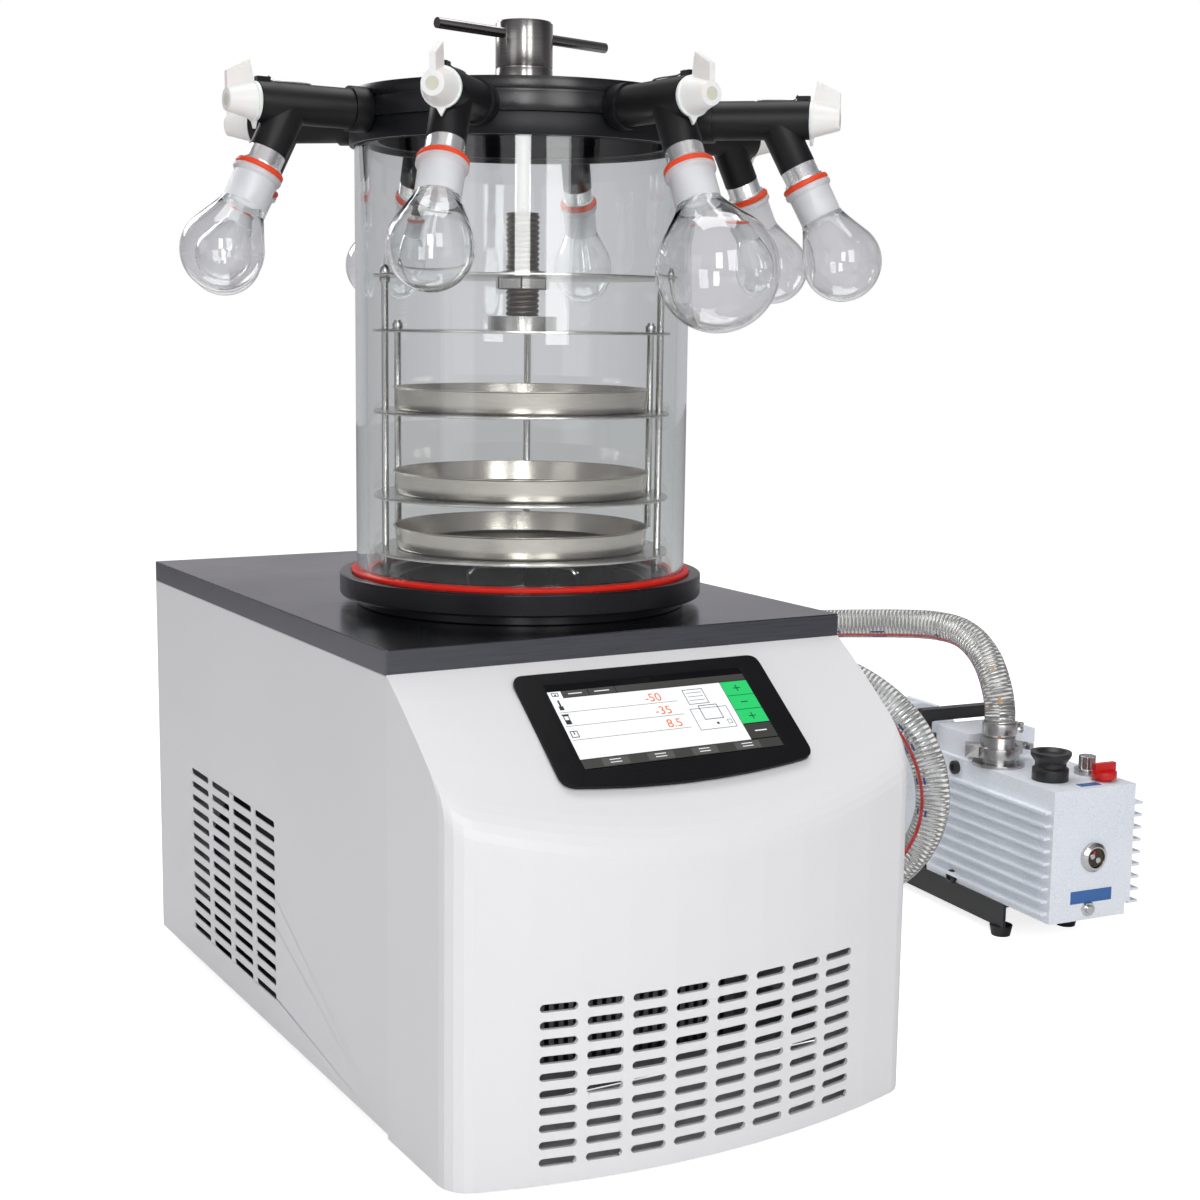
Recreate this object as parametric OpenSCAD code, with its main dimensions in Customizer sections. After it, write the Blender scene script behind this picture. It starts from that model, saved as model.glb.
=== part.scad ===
// Benchtop freeze dryer: cabinet with a cold trap, clear drying chamber with a
// stoppering rack, eight-port flask manifold, and a two-stage vacuum pump on a hose.
// Z is up, the front faces -Y. The origin is on the chamber's axis, at the floor.

/* [Cabinet] */
// Width of the cabinet over its side panels
cab_w = 380; // [340:1:420]
// Distance from the chamber's axis to the front edge of the top cover
cab_front = 168; // [160:1:190]
// Distance from the chamber's axis to the back of the cabinet
cab_back = 357; // [340:1:400]
// Height of the top cover above the floor
cab_top = 357; // [340:1:380]
// Height of the folded edge of the top cover
cover_skirt = 18; // [12:1:24]
// Sheet thickness of the panels
sheet = 1.5; // [1:0.1:2.5]
// Height of the rubber feet
foot_h = 12; // [8:1:20]
// Radius of a rubber foot
foot_r = 16; // [12:1:20]
// Distance of the feet from the edges of the base
foot_inset = 45; // [30:1:60]

/* [Front panel] */
// Reach of the front panel ahead of the cover at its middle
bow_reach = 130; // [120:1:140]
// Radius of the bowed front in plan
bow_r = 600; // [500:10:900]
// Radius of the two upright corners
corner_r = 16; // [10:1:24]
// Height of the crease at the side of the front panel
crease_z = 263; // [255:1:270]
// Length of the blend over the crease
crease_blend = 16; // [8:1:24]
// Wall of the moulded front panel
front_wall = 3; // [2:0.5:4]
// How far the front panel hangs below the side panels
front_drop = 3; // [0:0.5:4]

/* [Front grille] */
// Number of slots in a row
grille_cols = 8; // [4:1:9]
// Number of rows
grille_rows = 10; // [4:1:10]
// Length of a slot
slot_len = 26; // [16:1:28]
// Height of a slot
slot_h = 5.6; // [4:0.2:7]
// Distance between slots in a row
slot_pitch_x = 32.5; // [30:0.5:36]
// Distance between rows
slot_pitch_z = 11.9; // [10:0.1:12]
// Height of the lowest row
grille_z = 25; // [22:1:30]

/* [Side grilles] */
// Number of slot columns in a side panel
vent_cols = 4; // [2:1:5]
// Number of slot rows in a side panel
vent_rows = 13; // [4:1:13]
// Length of a side slot
vent_len = 46; // [30:1:48]
// Distance between side slot columns
vent_pitch_y = 54; // [50:1:56]
// Distance between side slot rows
vent_pitch_z = 11.8; // [10:0.1:12]
// Distance from the chamber's axis to the middle of the side grille
vent_y = 158; // [150:1:170]
// Height of the lowest side slot
vent_z = 40; // [36:1:50]

/* [Display] */
// Width of the display bezel
bezel_w = 205; // [190:1:215]
// Depth of the bezel along the slope
bezel_d = 99; // [92:1:104]
// Bow of the bezel's lower edge
bezel_bow = 8; // [0:1:12]
// Thickness of the bezel
bezel_t = 3; // [2:0.5:5]
// Width of the screen
screen_w = 164; // [150:1:176]
// Depth of the screen along the slope
screen_d = 76; // [70:1:82]

/* [Cold trap] */
// Inner radius of the cold trap
trap_r = 104; // [95:1:105]
// Height of the trap's floor
trap_floor = 140; // [136:1:170]
// Wall of the insulated trap
trap_wall = 21; // [14:1:21]
// Tube radius of the evaporator coil
coil_r = 4; // [3:0.5:5]
// Number of turns of the evaporator coil
coil_turns = 10; // [4:1:12]

/* [Chamber] */
// Outer radius of the clear chamber
chamber_r = 130; // [126:1:132]
// Wall of the clear chamber
chamber_wall = 9; // [6:0.5:10]
// Height of the clear chamber
chamber_h = 336; // [334:1:360]
// Outer radius of the base ring
ring_r = 143.5; // [140:0.5:150]
// Height of the base ring
ring_h = 25; // [22:1:30]
// Height of the gasket above the base ring
gasket_h = 6; // [5:0.5:8]

/* [Lid] */
// Radius of the lid
lid_r = 136; // [134:1:140]
// Thickness of the lid
lid_t = 24; // [20:1:28]
// Height of the seal's skirt on the chamber
skirt_h = 16; // [12:1:20]
// Radius of the steel hub
hub_r = 22; // [18:1:26]
// Height of the steel hub
hub_h = 56; // [50:1:64]
// Length of the T bar
bar_len = 172; // [140:1:190]
// Radius of the T bar
bar_r = 4; // [3:0.5:5]
// Plan angle of the T bar
bar_turn = 14; // [0:1:180]

/* [Stoppering rack] */
// Radius of the shelves
shelf_r = 116.5; // [114:0.5:117]
// Thickness of the shelves
shelf_t = 2; // [1.5:0.5:3]
// Height of the lowest shelf above the base ring
shelf_rise = 17; // [14:1:20]
// Gap from the lowest to the middle shelf
gap_low = 43; // [40:1:46]
// Gap from the middle to the upper shelf
gap_mid = 65; // [60:1:68]
// Gap from the upper shelf to the press plate
gap_press = 62; // [58:1:66]
// Gap from the press plate to the nut plate
gap_nut = 42; // [40:1:46]
// Radius of the rack's rods
rod_r = 3; // [2.5:0.5:4]
// Radius of the circle that the rods stand on
rod_circle = 109; // [108:0.5:110]
// Radius of the press screw
screw_r = 13; // [10:0.5:15]
// Length of the press screw
screw_h = 80; // [74:1:82]
// Radius of the drive shaft
shaft_r = 5; // [4:0.5:6]
// Radius of a sample tray
tray_r = 100; // [90:1:101]
// Height of a sample tray
tray_h = 18; // [12:1:20]
// Wall of a sample tray
tray_wall = 1; // [0.6:0.1:1.5]

/* [Manifold] */
// Number of manifold ports
ports = 8; // [8:1:8]
// Plan angle of the first port
port_turn = -41.7; // [-60:0.1:-30]
// Outer radius of a valve's rubber body
arm_r = 14.5; // [14.5:0.5:16]
// Distance from the chamber's axis to the outer end of a valve
arm_end = 221; // [216:1:226]
// Distance from the chamber's axis to the branch of a valve
branch_at = 195; // [192:1:198]
// Lean of the branch away from the vertical
branch_lean = 27; // [20:1:32]
// Radius of the branch
branch_r = 13.8; // [13.5:0.1:14.5]
// Length of the branch from the valve's axis
branch_len = 39; // [36:1:42]
// Radius of the valve's bore
bore_r = 8; // [7:0.1:9]
// Depth of a valve knob
knob_d = 22; // [16:1:24]
// Thickness of a knob's blade
blade_t = 4.5; // [3.5:0.5:8]

/* [Flasks] */
// Radius of the small flasks' bulb
bulb_small = 31; // [28:0.5:33]
// Radius of the large flask's bulb
bulb_large = 43.5; // [40:0.5:46]
// Outer radius of a flask's neck
neck_r = 16; // [15.5:0.1:17]
// Length of the ground neck
neck_len = 25; // [22:1:28]
// Glass wall of a flask
glass_t = 1.6; // [1.2:0.1:2.2]
// Distance from the valve's axis to the small bulb's middle
drop_small = 122; // [118:1:126]
// Distance from the valve's axis to the large bulb's middle
drop_large = 137; // [134:1:142]

/* [Pump] */
// Width of the pump's oil case over its front plate
pump_w = 94; // [88:1:100]
// Length of the pump's oil case
pump_len = 195; // [180:1:205]
// Height of the pump's oil case
pump_h = 125.5; // [118:0.5:132]
// Height of the case above the floor
pump_rise = 33.5; // [30:0.5:38]
// Number of cooling fins on each side
fin_count = 9; // [5:1:10]
// Depth of a cooling fin
fin_d = 7; // [4:0.5:9]
// Radius of the motor
motor_r = 62; // [54:1:64]
// Length of the motor
motor_len = 80; // [70:1:110]

/* [Hose] */
// Outer radius of the vacuum hose
hose_r = 15; // [13:0.5:16]

/* [Hidden] */
$fn = 64;

// Clearances: a seat between fixed pieces, and a running fit on radius
seat = 0.3;
run = 0.05;
// Overlap of the cutting shapes past the faces they cut
cut = 1;

// Cabinet levels
cab_bottom = foot_h;
half_w = cab_w / 2;
skirt_z = cab_top - cover_skirt;
bowl_mouth_r = trap_r + trap_wall + 3;

// Chamber levels
ring_top = cab_top + ring_h;
gasket_floor = ring_top + 3;
chamber_z = gasket_floor;
chamber_top = chamber_z + chamber_h;
seal_cap = 4;
lid_z = chamber_top + seal_cap;
lid_top = lid_z + lid_t;
port_z = lid_z + 5;

// Rack levels: the top face of each shelf
low_z = ring_top + shelf_rise + shelf_t;
mid_z = low_z + gap_low;
up_z = mid_z + gap_mid;
press_z = up_z + gap_press;
nut_z = press_z + gap_nut;
boss_h = 11;
boss_r = 27;
nut_h = 8;
screw_z = press_z + boss_h;
rod_turn = 150;
rod_shift = 18;
rod_angles = [rod_turn, rod_turn + 180, rod_turn - 90];
hanger_angles = [rod_turn - rod_shift, rod_turn + 180 + rod_shift];
press_travel = 30;
shaft_tip = screw_z + screw_h - 41;

// Manifold: what hangs on a branch, measured along it from the valve's axis
collar_r = 13.5;
collar_end = branch_len + 12;
ring_minor = 1.7;
ring_major = 14.2;
lip_at = collar_end + 2 * ring_minor;
lip_h = 4;
lip_r = neck_r + 2;
plug_r = 12;
big_port = 7;

// Pump frame: its front lower middle on the floor plan, and its turn
pump_x = 554;
pump_y = -89;
pump_turn = -5;
pump_top = pump_rise + pump_h;
coupling_h = 104;
motor_z = pump_rise + 88;
coupling_len = 94;
fin_shift = 6;
block_h = 25;
inlet_x = -27;
inlet_y = 112;
inlet_h = 28;

// Vacuum port on the rear panel
port_x = half_w - 70;
port_h = 100;
port_reach = 28;

// ---------- helpers ----------

module at_port(i) {
    rotate([0, 0, port_turn + 45 * i]) translate([0, 0, port_z]) children();
}

// Frame on a branch: its -Z runs along the branch, from the valve's axis
module on_branch(i) {
    at_port(i) translate([branch_at, 0, 0]) rotate([0, -branch_lean, 0]) children();
}

module pump_frame() {
    translate([pump_x, pump_y, 0]) rotate([0, 0, pump_turn]) children();
}

// Slot with round ends, lying along X and cut through along Y
module slot_y(len, h, deep) {
    rotate([90, 0, 0]) translate([0, 0, -deep / 2]) linear_extrude(deep) {
        square([len - h, h], center = true);
        translate([-(len - h) / 2, 0]) circle(d = h, $fn = 24);
        translate([(len - h) / 2, 0]) circle(d = h, $fn = 24);
    }
}

// Torus about Z
module torus(major, minor) {
    rotate_extrude() translate([major, 0]) circle(r = minor, $fn = 24);
}

// Cylinder lying along Y from y = 0
module rod_y(r, len) {
    rotate([-90, 0, 0]) cylinder(r = r, h = len);
}

// Cylinder lying along X from x = 0
module rod_x(r, len) {
    rotate([0, 90, 0]) cylinder(r = r, h = len);
}

// ---------- cabinet ----------

module base_pan() {
    in_w = cab_w - 2 * sheet;
    len = cab_front + cab_back - 2 * sheet;
    color([0.86, 0.87, 0.88]) translate([0, (cab_back - cab_front) / 2, cab_bottom])
    difference() {
        translate([-in_w / 2, -len / 2, 0]) cube([in_w, len, 20]);
        translate([-in_w / 2 + sheet, -len / 2 + sheet, sheet])
            cube([in_w - 2 * sheet, len - 2 * sheet, 20]);
    }
}

// Four feet at the corners, and one in the middle under the cold trap's weight
module unit_feet() {
    x = half_w - foot_inset;
    spots = concat([[0, 0]], [for (sx = [-x, x],
        y = [-cab_front + foot_inset, cab_back - foot_inset]) [sx, y]]);
    color([0.08, 0.08, 0.08]) for (spot = spots)
        translate([spot[0], spot[1], 0]) cylinder(r1 = foot_r - 2, r2 = foot_r, h = foot_h);
}

// Side panel with folded edges, seen from inside as a shallow tray
module side_panel(side) {
    len = cab_front + cab_back;
    high = skirt_z - cab_bottom;
    flange = 9;
    color([0.93, 0.93, 0.94]) difference() {
        translate([side > 0 ? half_w - flange : -half_w, -cab_front, cab_bottom])
            cube([flange, len, high]);
        translate([side > 0 ? half_w - flange - cut : -half_w + sheet,
            -cab_front + sheet, cab_bottom - cut])
            cube([flange + cut - sheet, len - 2 * sheet, high + cut - sheet]);
        for (c = [0 : vent_cols - 1], r = [0 : vent_rows - 1])
            translate([side * half_w, vent_y + (c - (vent_cols - 1) / 2) * vent_pitch_y,
                vent_z + r * vent_pitch_z])
                rotate([0, 0, 90]) slot_y(vent_len, slot_h, 4 * sheet);
    }
}

module side_panel_left() {
    side_panel(-1);
}

module side_panel_right() {
    side_panel(1);
}

module rear_panel() {
    w = cab_w - 2 * sheet - 2 * seat;
    high = skirt_z - cab_bottom - 20 - sheet - 2 * seat;
    color([0.93, 0.93, 0.94]) difference() {
        translate([-w / 2, cab_back - 2 * sheet - seat, cab_bottom + 20 + seat])
            cube([w, sheet, high]);
        translate([port_x, cab_back - 6 * sheet, port_h]) rod_y(hose_r, 12 * sheet);
        for (c = [-1, 0], r = [0 : vent_rows - 1])
            translate([c * vent_pitch_y, cab_back - 2 * sheet, 150 + r * vent_pitch_z])
                slot_y(vent_len, slot_h, 6 * sheet);
    }
}

module top_cover() {
    len = cab_front + cab_back;
    color([0.62, 0.63, 0.65]) difference() {
        translate([-half_w, -cab_front, skirt_z]) cube([cab_w, len, cover_skirt]);
        translate([-half_w + sheet, -cab_front + sheet, skirt_z - cut])
            cube([cab_w - 2 * sheet, len - 2 * sheet, cover_skirt + cut - sheet]);
        translate([0, 0, skirt_z]) cylinder(r = bowl_mouth_r + seat, h = cover_skirt + cut);
    }
}

// Front panel: each station across X is an upright profile in Y and Z.
// The plan is a bow with round corners, the upper face slopes and is slightly full.
slope_y0 = -cab_front;
slope_z0 = skirt_z + 1;
side_y = -cab_front - bow_reach + bow_r - sqrt(bow_r * bow_r - half_w * half_w);
slope_fall = (slope_z0 - crease_z) / (slope_y0 - side_y);
slope_full = 3;
function bow_y(x, hw, in) =
    let (c = hw - corner_r, e = max(0, abs(x) - c))
    -cab_front - bow_reach + in + bow_r - sqrt(bow_r * bow_r - x * x)
        + corner_r - sqrt(max(0, corner_r * corner_r - e * e));
function slope_z(y, in) =
    let (t = (slope_y0 - y) / (slope_y0 - side_y))
    slope_z0 - slope_fall * (slope_y0 - y) + slope_full * 4 * t * (1 - t) - in * 1.3;
function bezier(a, b, c, t) = a * (1 - t) * (1 - t) + b * 2 * t * (1 - t) + c * t * t;
function profile(x, hw, in, y_back, z_low) =
    let (yf = bow_y(x, hw, in), zc = slope_z(yf, in), k = crease_blend,
        ya = yf + k, za = slope_z(ya, in), corner = [yf, zc])
    concat(
        [[y_back, slope_z0 - in * 1.3]],
        [for (i = [0 : 3]) let (y = slope_y0 + (ya - slope_y0) * i / 4) [y, slope_z(y, in)]],
        [for (i = [0 : 5]) bezier([ya, za], corner, [yf, zc - k], i / 5)],
        [[yf, z_low], [y_back, z_low]]);
function stations(hw) = concat(
    [for (a = [90 : -22.5 : 22.5]) -hw + corner_r - corner_r * sin(a)],
    [for (i = [0 : 10]) (hw - corner_r) * (i / 5 - 1)],
    [for (a = [22.5 : 22.5 : 90]) hw - corner_r + corner_r * sin(a)]);
module front_solid(hw, in, y_back, z_low) {
    xs = stations(hw);
    rows = [for (x = xs) profile(x, hw, in, y_back, z_low)];
    n = len(rows[0]);
    m = len(xs);
    polyhedron(
        [for (i = [0 : m - 1], p = rows[i]) [xs[i], p[0], p[1]]],
        concat(
            [for (i = [0 : m - 2], j = [0 : n - 1]) let (k = (j + 1) % n)
                [i * n + j, (i + 1) * n + k, i * n + k]],
            [for (i = [0 : m - 2], j = [0 : n - 1]) let (k = (j + 1) % n)
                [i * n + j, (i + 1) * n + j, (i + 1) * n + k]],
            [[for (j = [0 : n - 1]) j]],
            [[for (j = [n - 1 : -1 : 0]) (m - 1) * n + j]]));
}

// Height above the grille where the upright wall meets the sloping hood
hood_z = 160;
module front_plan(hw, in, y_back) {
    xs = stations(hw);
    polygon(concat([for (x = xs) [x, bow_y(x, hw, in)]], [[hw, y_back], [-hw, y_back]]));
}
module front_panel() {
    z_low = cab_bottom - front_drop;
    in_w = half_w - front_wall;
    grille_x = -5;
    color([0.95, 0.95, 0.96]) {
        difference() {
            translate([0, 0, z_low]) linear_extrude(hood_z - z_low)
                front_plan(half_w, 0, -cab_front);
            translate([0, 0, z_low + front_wall]) linear_extrude(hood_z)
                front_plan(in_w, front_wall, -cab_front + cut);
            for (c = [0 : grille_cols - 1], r = [0 : grille_rows - 1])
                translate([grille_x + (c - (grille_cols - 1) / 2) * slot_pitch_x,
                    -cab_front - bow_reach + 10, grille_z + r * slot_pitch_z])
                    slot_y(slot_len, slot_h, 50);
        }
        difference() {
            front_solid(half_w, 0, -cab_front, hood_z);
            front_solid(in_w, front_wall, -cab_front + cut, hood_z - cut);
        }
    }
}

// Frame on the sloping face at the bezel's middle: X across, -Y down the slope, Z out
bezel_y = side_y + 46;
module on_slope() {
    translate([0, bezel_y, slope_z(bezel_y, 0)]) rotate([atan(slope_fall), 0, 0]) children();
}
module bezel_outline() {
    r = 9;
    w = bezel_w / 2;
    d = bezel_d / 2;
    // Circle through both lower corners and the middle of the bowed edge
    big = bezel_bow > 0 ? (w * w + bezel_bow * bezel_bow) / (2 * bezel_bow) : 1e4;
    difference() {
        union() {
            translate([-w, -d - bezel_bow]) square([2 * w, 2 * d + bezel_bow - r]);
            translate([-w + r, d - r - cut]) square([2 * w - 2 * r, r + cut]);
            translate([-w + r, d - r]) circle(r = r);
            translate([w - r, d - r]) circle(r = r);
        }
        difference() {
            translate([-w - cut, -d - bezel_bow - cut])
                square([2 * w + 2 * cut, bezel_bow + cut + 6]);
            translate([0, big - d - bezel_bow]) circle(r = big, $fn = 200);
        }
    }
}
module screen_bezel() {
    color([0.05, 0.05, 0.06]) on_slope() translate([-1, 0, 0.4]) difference() {
        linear_extrude(bezel_t) bezel_outline();
        translate([-screen_w / 2, -screen_d / 2, bezel_t - 1.2]) cube([screen_w, screen_d, 2]);
    }
}
module touch_screen() {
    color([0.8, 0.84, 0.88]) on_slope() translate([-1, 0, 0.4 + bezel_t - 1.2])
        translate([-screen_w / 2 + seat, -screen_d / 2 + seat, 0])
            cube([screen_w - 2 * seat, screen_d - 2 * seat, 1]);
}

// ---------- refrigeration ----------

module cold_trap() {
    out = trap_r + trap_wall;
    color([0.07, 0.07, 0.08]) difference() {
        union() {
            translate([0, 0, trap_floor - 12]) cylinder(r = out, h = cab_top - trap_floor);
            translate([0, 0, skirt_z]) cylinder(r = bowl_mouth_r, h = cover_skirt);
        }
        translate([0, 0, trap_floor]) cylinder(r = trap_r, h = cab_top);
    }
}

module evaporator_coil() {
    pitch = (cab_top - trap_floor - 30) / coil_turns;
    mid_r = trap_r - coil_r - 2;
    color([0.8, 0.79, 0.76]) {
        for (i = [0 : coil_turns - 1])
            translate([0, 0, trap_floor + 14 + i * pitch]) torus(mid_r, coil_r);
        rotate([0, 0, 60]) translate([mid_r, 0, trap_floor])
            cylinder(r = coil_r + 0.5, h = 14 + (coil_turns - 1) * pitch);
    }
}

module compressor() {
    r = 72;
    translate([-100, 250, cab_bottom + sheet]) color([0.1, 0.1, 0.1]) {
        rotate_extrude() intersection() {
            translate([0, 10]) square([r + 1, 140]);
            union() {
                translate([0, 10]) square([r, 82]);
                translate([0, 92]) circle(r = r);
            }
            square([r, 146]);
        }
        for (a = [45 : 90 : 315])
            rotate([0, 0, a]) translate([r - 6, 0, 0]) {
                translate([-6, -12, 8]) cube([26, 24, 3]);
                translate([8, 0, 0]) cylinder(r = 9, h = 9);
            }
        translate([0, 0, 84]) torus(r, 3);
    }
}

fan_z = 70;
fan_y = -86;
module condenser() {
    w = 220;
    low = cab_bottom + sheet;
    color([0.55, 0.56, 0.57]) {
        difference() {
            translate([-w / 2, -155, low]) cube([w, 50, 104]);
            for (i = [0 : 24])
                translate([-w / 2 + 10 + i * 8.2, -155 - cut, low + 8]) cube([4, 40 + cut, 88]);
            translate([0, -120, fan_z]) rod_y(50, 40);
        }
        for (a = [30, 150, 270])
            translate([0, fan_y + 12, fan_z]) rotate([0, a, 0])
                translate([0, -3, -3]) cube([56, 4, 6]);
        for (a = [30, 150, 270])
            translate([0, -106, fan_z]) rotate([0, a, 0])
                translate([51, 0, -3]) cube([5, 35, 6]);
        translate([0, fan_y + 12, fan_z]) rod_y(21, 34);
        translate([0, fan_y - 6, fan_z]) rod_y(4, 24);
    }
}
module fan_blade() {
    color([0.75, 0.76, 0.78]) translate([0, fan_y, fan_z]) difference() {
        union() {
            translate([0, -6, 0]) rod_y(13, 12);
            intersection() {
                for (a = [0 : 72 : 288])
                    rotate([0, a, 0]) rotate([28, 0, 0]) translate([0, -1, -13]) cube([46, 1.6, 26]);
                translate([0, -6.5, 0]) rod_y(45, 13);
            }
        }
        translate([0, -6 - cut, 0]) rod_y(4 + run, 14);
    }
}

module vacuum_port() {
    color([0.75, 0.75, 0.76]) translate([port_x, cab_back, port_h]) {
        translate([0, -12, 0]) rod_y(hose_r - 1, 12 + port_reach);
        translate([0, -sheet - seat, 0]) rod_y(22, 5);
        translate([0, port_reach - 5, 0]) rod_y(hose_r + 2, 5);
    }
}

// ---------- chamber ----------

module base_ring() {
    ring_in = trap_r - 7;
    color([0.05, 0.05, 0.06]) translate([0, 0, cab_top]) rotate_extrude() difference() {
        union() {
            translate([ring_in, 0]) square([ring_r - 13.5 - ring_in, 8]);
            translate([ring_in, 7]) square([ring_r - 1 - ring_in, ring_h - 7]);
            translate([ring_r - 4, 8]) square([4, ring_h - 9]);
        }
        translate([chamber_r - 12, ring_h - 0.5]) square([17, 1]);
    }
}

module base_gasket() {
    lip = chamber_r + 4;
    color([0.78, 0.12, 0.08]) translate([0, 0, ring_top - 0.5]) rotate_extrude() difference() {
        translate([chamber_r - 11.5, 0]) square([lip - chamber_r + 11.5, gasket_h + 0.5]);
        translate([chamber_r - 11.5 - cut, 3.5]) square([11.5 + cut + seat, gasket_h]);
    }
}

module chamber_cylinder() {
    color([0.85, 0.93, 0.92, 0.35]) translate([0, 0, chamber_z]) difference() {
        cylinder(r = chamber_r, h = chamber_h);
        translate([0, 0, -cut]) cylinder(r = chamber_r - chamber_wall, h = chamber_h + 2 * cut);
    }
}

module lid_seal() {
    color([0.04, 0.04, 0.05]) translate([0, 0, chamber_top]) rotate_extrude() difference() {
        translate([chamber_r - 18, -skirt_h + seal_cap]) square([22, skirt_h]);
        translate([chamber_r - chamber_wall - seat, -skirt_h])
            square([chamber_wall + 2 * seat, skirt_h]);
        translate([chamber_r - 18 - cut, -skirt_h]) square([18 - chamber_wall, skirt_h - 9]);
    }
}

module manifold_lid() {
    color([0.09, 0.09, 0.1]) difference() {
        union() {
            translate([0, 0, lid_z]) rotate_extrude() difference() {
                square([lid_r, lid_t]);
                translate([lid_r - 1, lid_t / 2 + 1.5]) square([2, 2]);
                translate([lid_r - 2, lid_t - 2]) square([3, 3]);
            }
            for (i = [0 : ports - 1])
                at_port(i) translate([lid_r - 1.6, 0, 0]) rod_x(bore_r, 19.6);
        }
        translate([0, 0, lid_z - cut]) cylinder(r = shaft_r + run, h = lid_t + 2 * cut);
    }
}

module spindle_handle() {
    color([0.7, 0.69, 0.67]) {
        translate([0, 0, lid_top]) rotate_extrude() difference() {
            square([hub_r, hub_h]);
            translate([hub_r - 0.8, hub_h * 0.36]) square([1, 1.4]);
            translate([hub_r - 1.5, hub_h - 1.5]) square([2, 2]);
        }
        translate([0, 0, shaft_tip]) cylinder(r = shaft_r, h = lid_top - shaft_tip + cut);
        translate([0, 0, lid_top + hub_h - 10]) rotate([0, 0, bar_turn])
            translate([-bar_len / 2, 0, 0]) rod_x(bar_r, bar_len);
    }
}

module press_screw() {
    color([0.45, 0.44, 0.42]) difference() {
        union() {
            translate([0, 0, screw_z]) cylinder(r = screw_r, h = screw_h);
            translate([0, 0, screw_z - 8]) cylinder(r = 6, h = 8 + cut);
        }
        translate([0, 0, shaft_tip - press_travel + 9])
            cylinder(r = shaft_r + run, h = screw_h);
    }
}

// ---------- rack ----------

module shelf(z, holes, hole_r) {
    translate([0, 0, z - shelf_t]) difference() {
        cylinder(r = shelf_r, h = shelf_t);
        for (a = holes)
            rotate([0, 0, a]) translate([rod_circle, 0, -cut])
                cylinder(r = hole_r, h = shelf_t + 2 * cut);
    }
}

module press_plate() {
    color([0.72, 0.71, 0.69]) difference() {
        union() {
            shelf(press_z, rod_angles, rod_r + seat);
            translate([0, 0, press_z - 0.2]) cylinder(r = boss_r, h = boss_h + 0.2);
            for (a = hanger_angles)
                rotate([0, 0, a]) translate([rod_circle, 0, 0]) {
                    translate([0, 0, low_z + 13]) cylinder(r = rod_r, h = press_z - low_z - 6);
                    translate([0, 0, press_z]) cylinder(r = rod_r + 1.5, h = 5);
                    for (z = [mid_z, up_z])
                        translate([0, 0, z - shelf_t - 5]) cylinder(r = rod_r + 1.5, h = 5);
                }
        }
        translate([0, 0, screw_z - 8 - run]) cylinder(r = 6 + run, h = 20);
    }
}

module nut_plate() {
    color([0.72, 0.71, 0.69]) difference() {
        union() {
            shelf(nut_z, rod_angles, rod_r + seat);
            translate([0, 0, nut_z - shelf_t - nut_h]) cylinder(r = screw_r + 8, h = nut_h + 0.2);
            translate([0, 0, nut_z - 0.2]) cylinder(r = screw_r + 4, h = 4.2);
        }
        translate([0, 0, press_z]) cylinder(r = screw_r + 2 * run, h = gap_nut + 4 + cut);
    }
}

module shelf_upper() {
    color([0.72, 0.71, 0.69]) shelf(up_z, concat(rod_angles, hanger_angles), rod_r + seat);
}

module shelf_middle() {
    color([0.72, 0.71, 0.69]) shelf(mid_z, concat(rod_angles, hanger_angles), rod_r + seat);
}

module shelf_lower() {
    color([0.72, 0.71, 0.69]) {
        shelf(low_z, concat(rod_angles, hanger_angles), rod_r + seat);
        translate([0, 0, low_z - shelf_t - 40]) cylinder(r = 4.3, h = 40.2);
    }
}

module tray(z) {
    color([0.74, 0.72, 0.69]) translate([0, 0, z]) rotate_extrude() difference() {
        union() {
            square([tray_r, tray_h]);
            translate([tray_r - tray_wall, tray_h - 1.5]) square([tray_wall + 1.5, 1.5]);
        }
        translate([-cut, tray_wall]) square([tray_r - tray_wall + cut, tray_h]);
    }
}

module tray_upper() {
    tray(up_z);
}

module tray_middle() {
    tray(mid_z);
}

module tray_lower() {
    tray(low_z);
}

// Fixed rods with a nut under each fixed plate, standing on the base ring
module rack_rods() {
    color([0.72, 0.71, 0.69]) for (a = rod_angles)
        rotate([0, 0, a]) translate([rod_circle, 0, 0]) {
            translate([0, 0, ring_top]) cylinder(r = rod_r, h = nut_z - ring_top + 2);
            translate([0, 0, ring_top]) cylinder(r = rod_r + 1.5, h = shelf_rise);
            translate([0, 0, nut_z]) cylinder(r = rod_r + 1.5, h = 4);
            translate([0, 0, nut_z + 4]) intersection() {
                sphere(r = rod_r + 1);
                cylinder(r = rod_r + 1, h = rod_r + 1);
            }
            translate([0, 0, nut_z - shelf_t - 4]) cylinder(r = rod_r + 1.5, h = 4);
        }
}

// ---------- manifold ----------

module valve_bodies() {
    color([0.06, 0.06, 0.07]) for (i = [0 : ports - 1]) difference() {
        union() {
            at_port(i) translate([lid_r - 3, 0, 0]) rod_x(arm_r, arm_end - lid_r + 3);
            at_port(i) translate([lid_r - 3, 0, 0]) rod_x(arm_r + 2, 16);
            at_port(i) translate([arm_end - 10, -3, arm_r - 1]) cube([10, 6, 4]);
            on_branch(i) translate([0, 0, -branch_len]) cylinder(r = branch_r, h = branch_len);
        }
        translate([0, 0, lid_z - 20]) cylinder(r = lid_r + seat, h = lid_t + 20);
        at_port(i) translate([lid_r, 0, 0]) rod_x(bore_r + 2 * run, 19);
        at_port(i) translate([branch_at - 18, 0, 0]) rod_x(bore_r + run, 60);
        on_branch(i) translate([0, 0, -branch_len - cut]) cylinder(r = 9, h = 16);
    }
}

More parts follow.
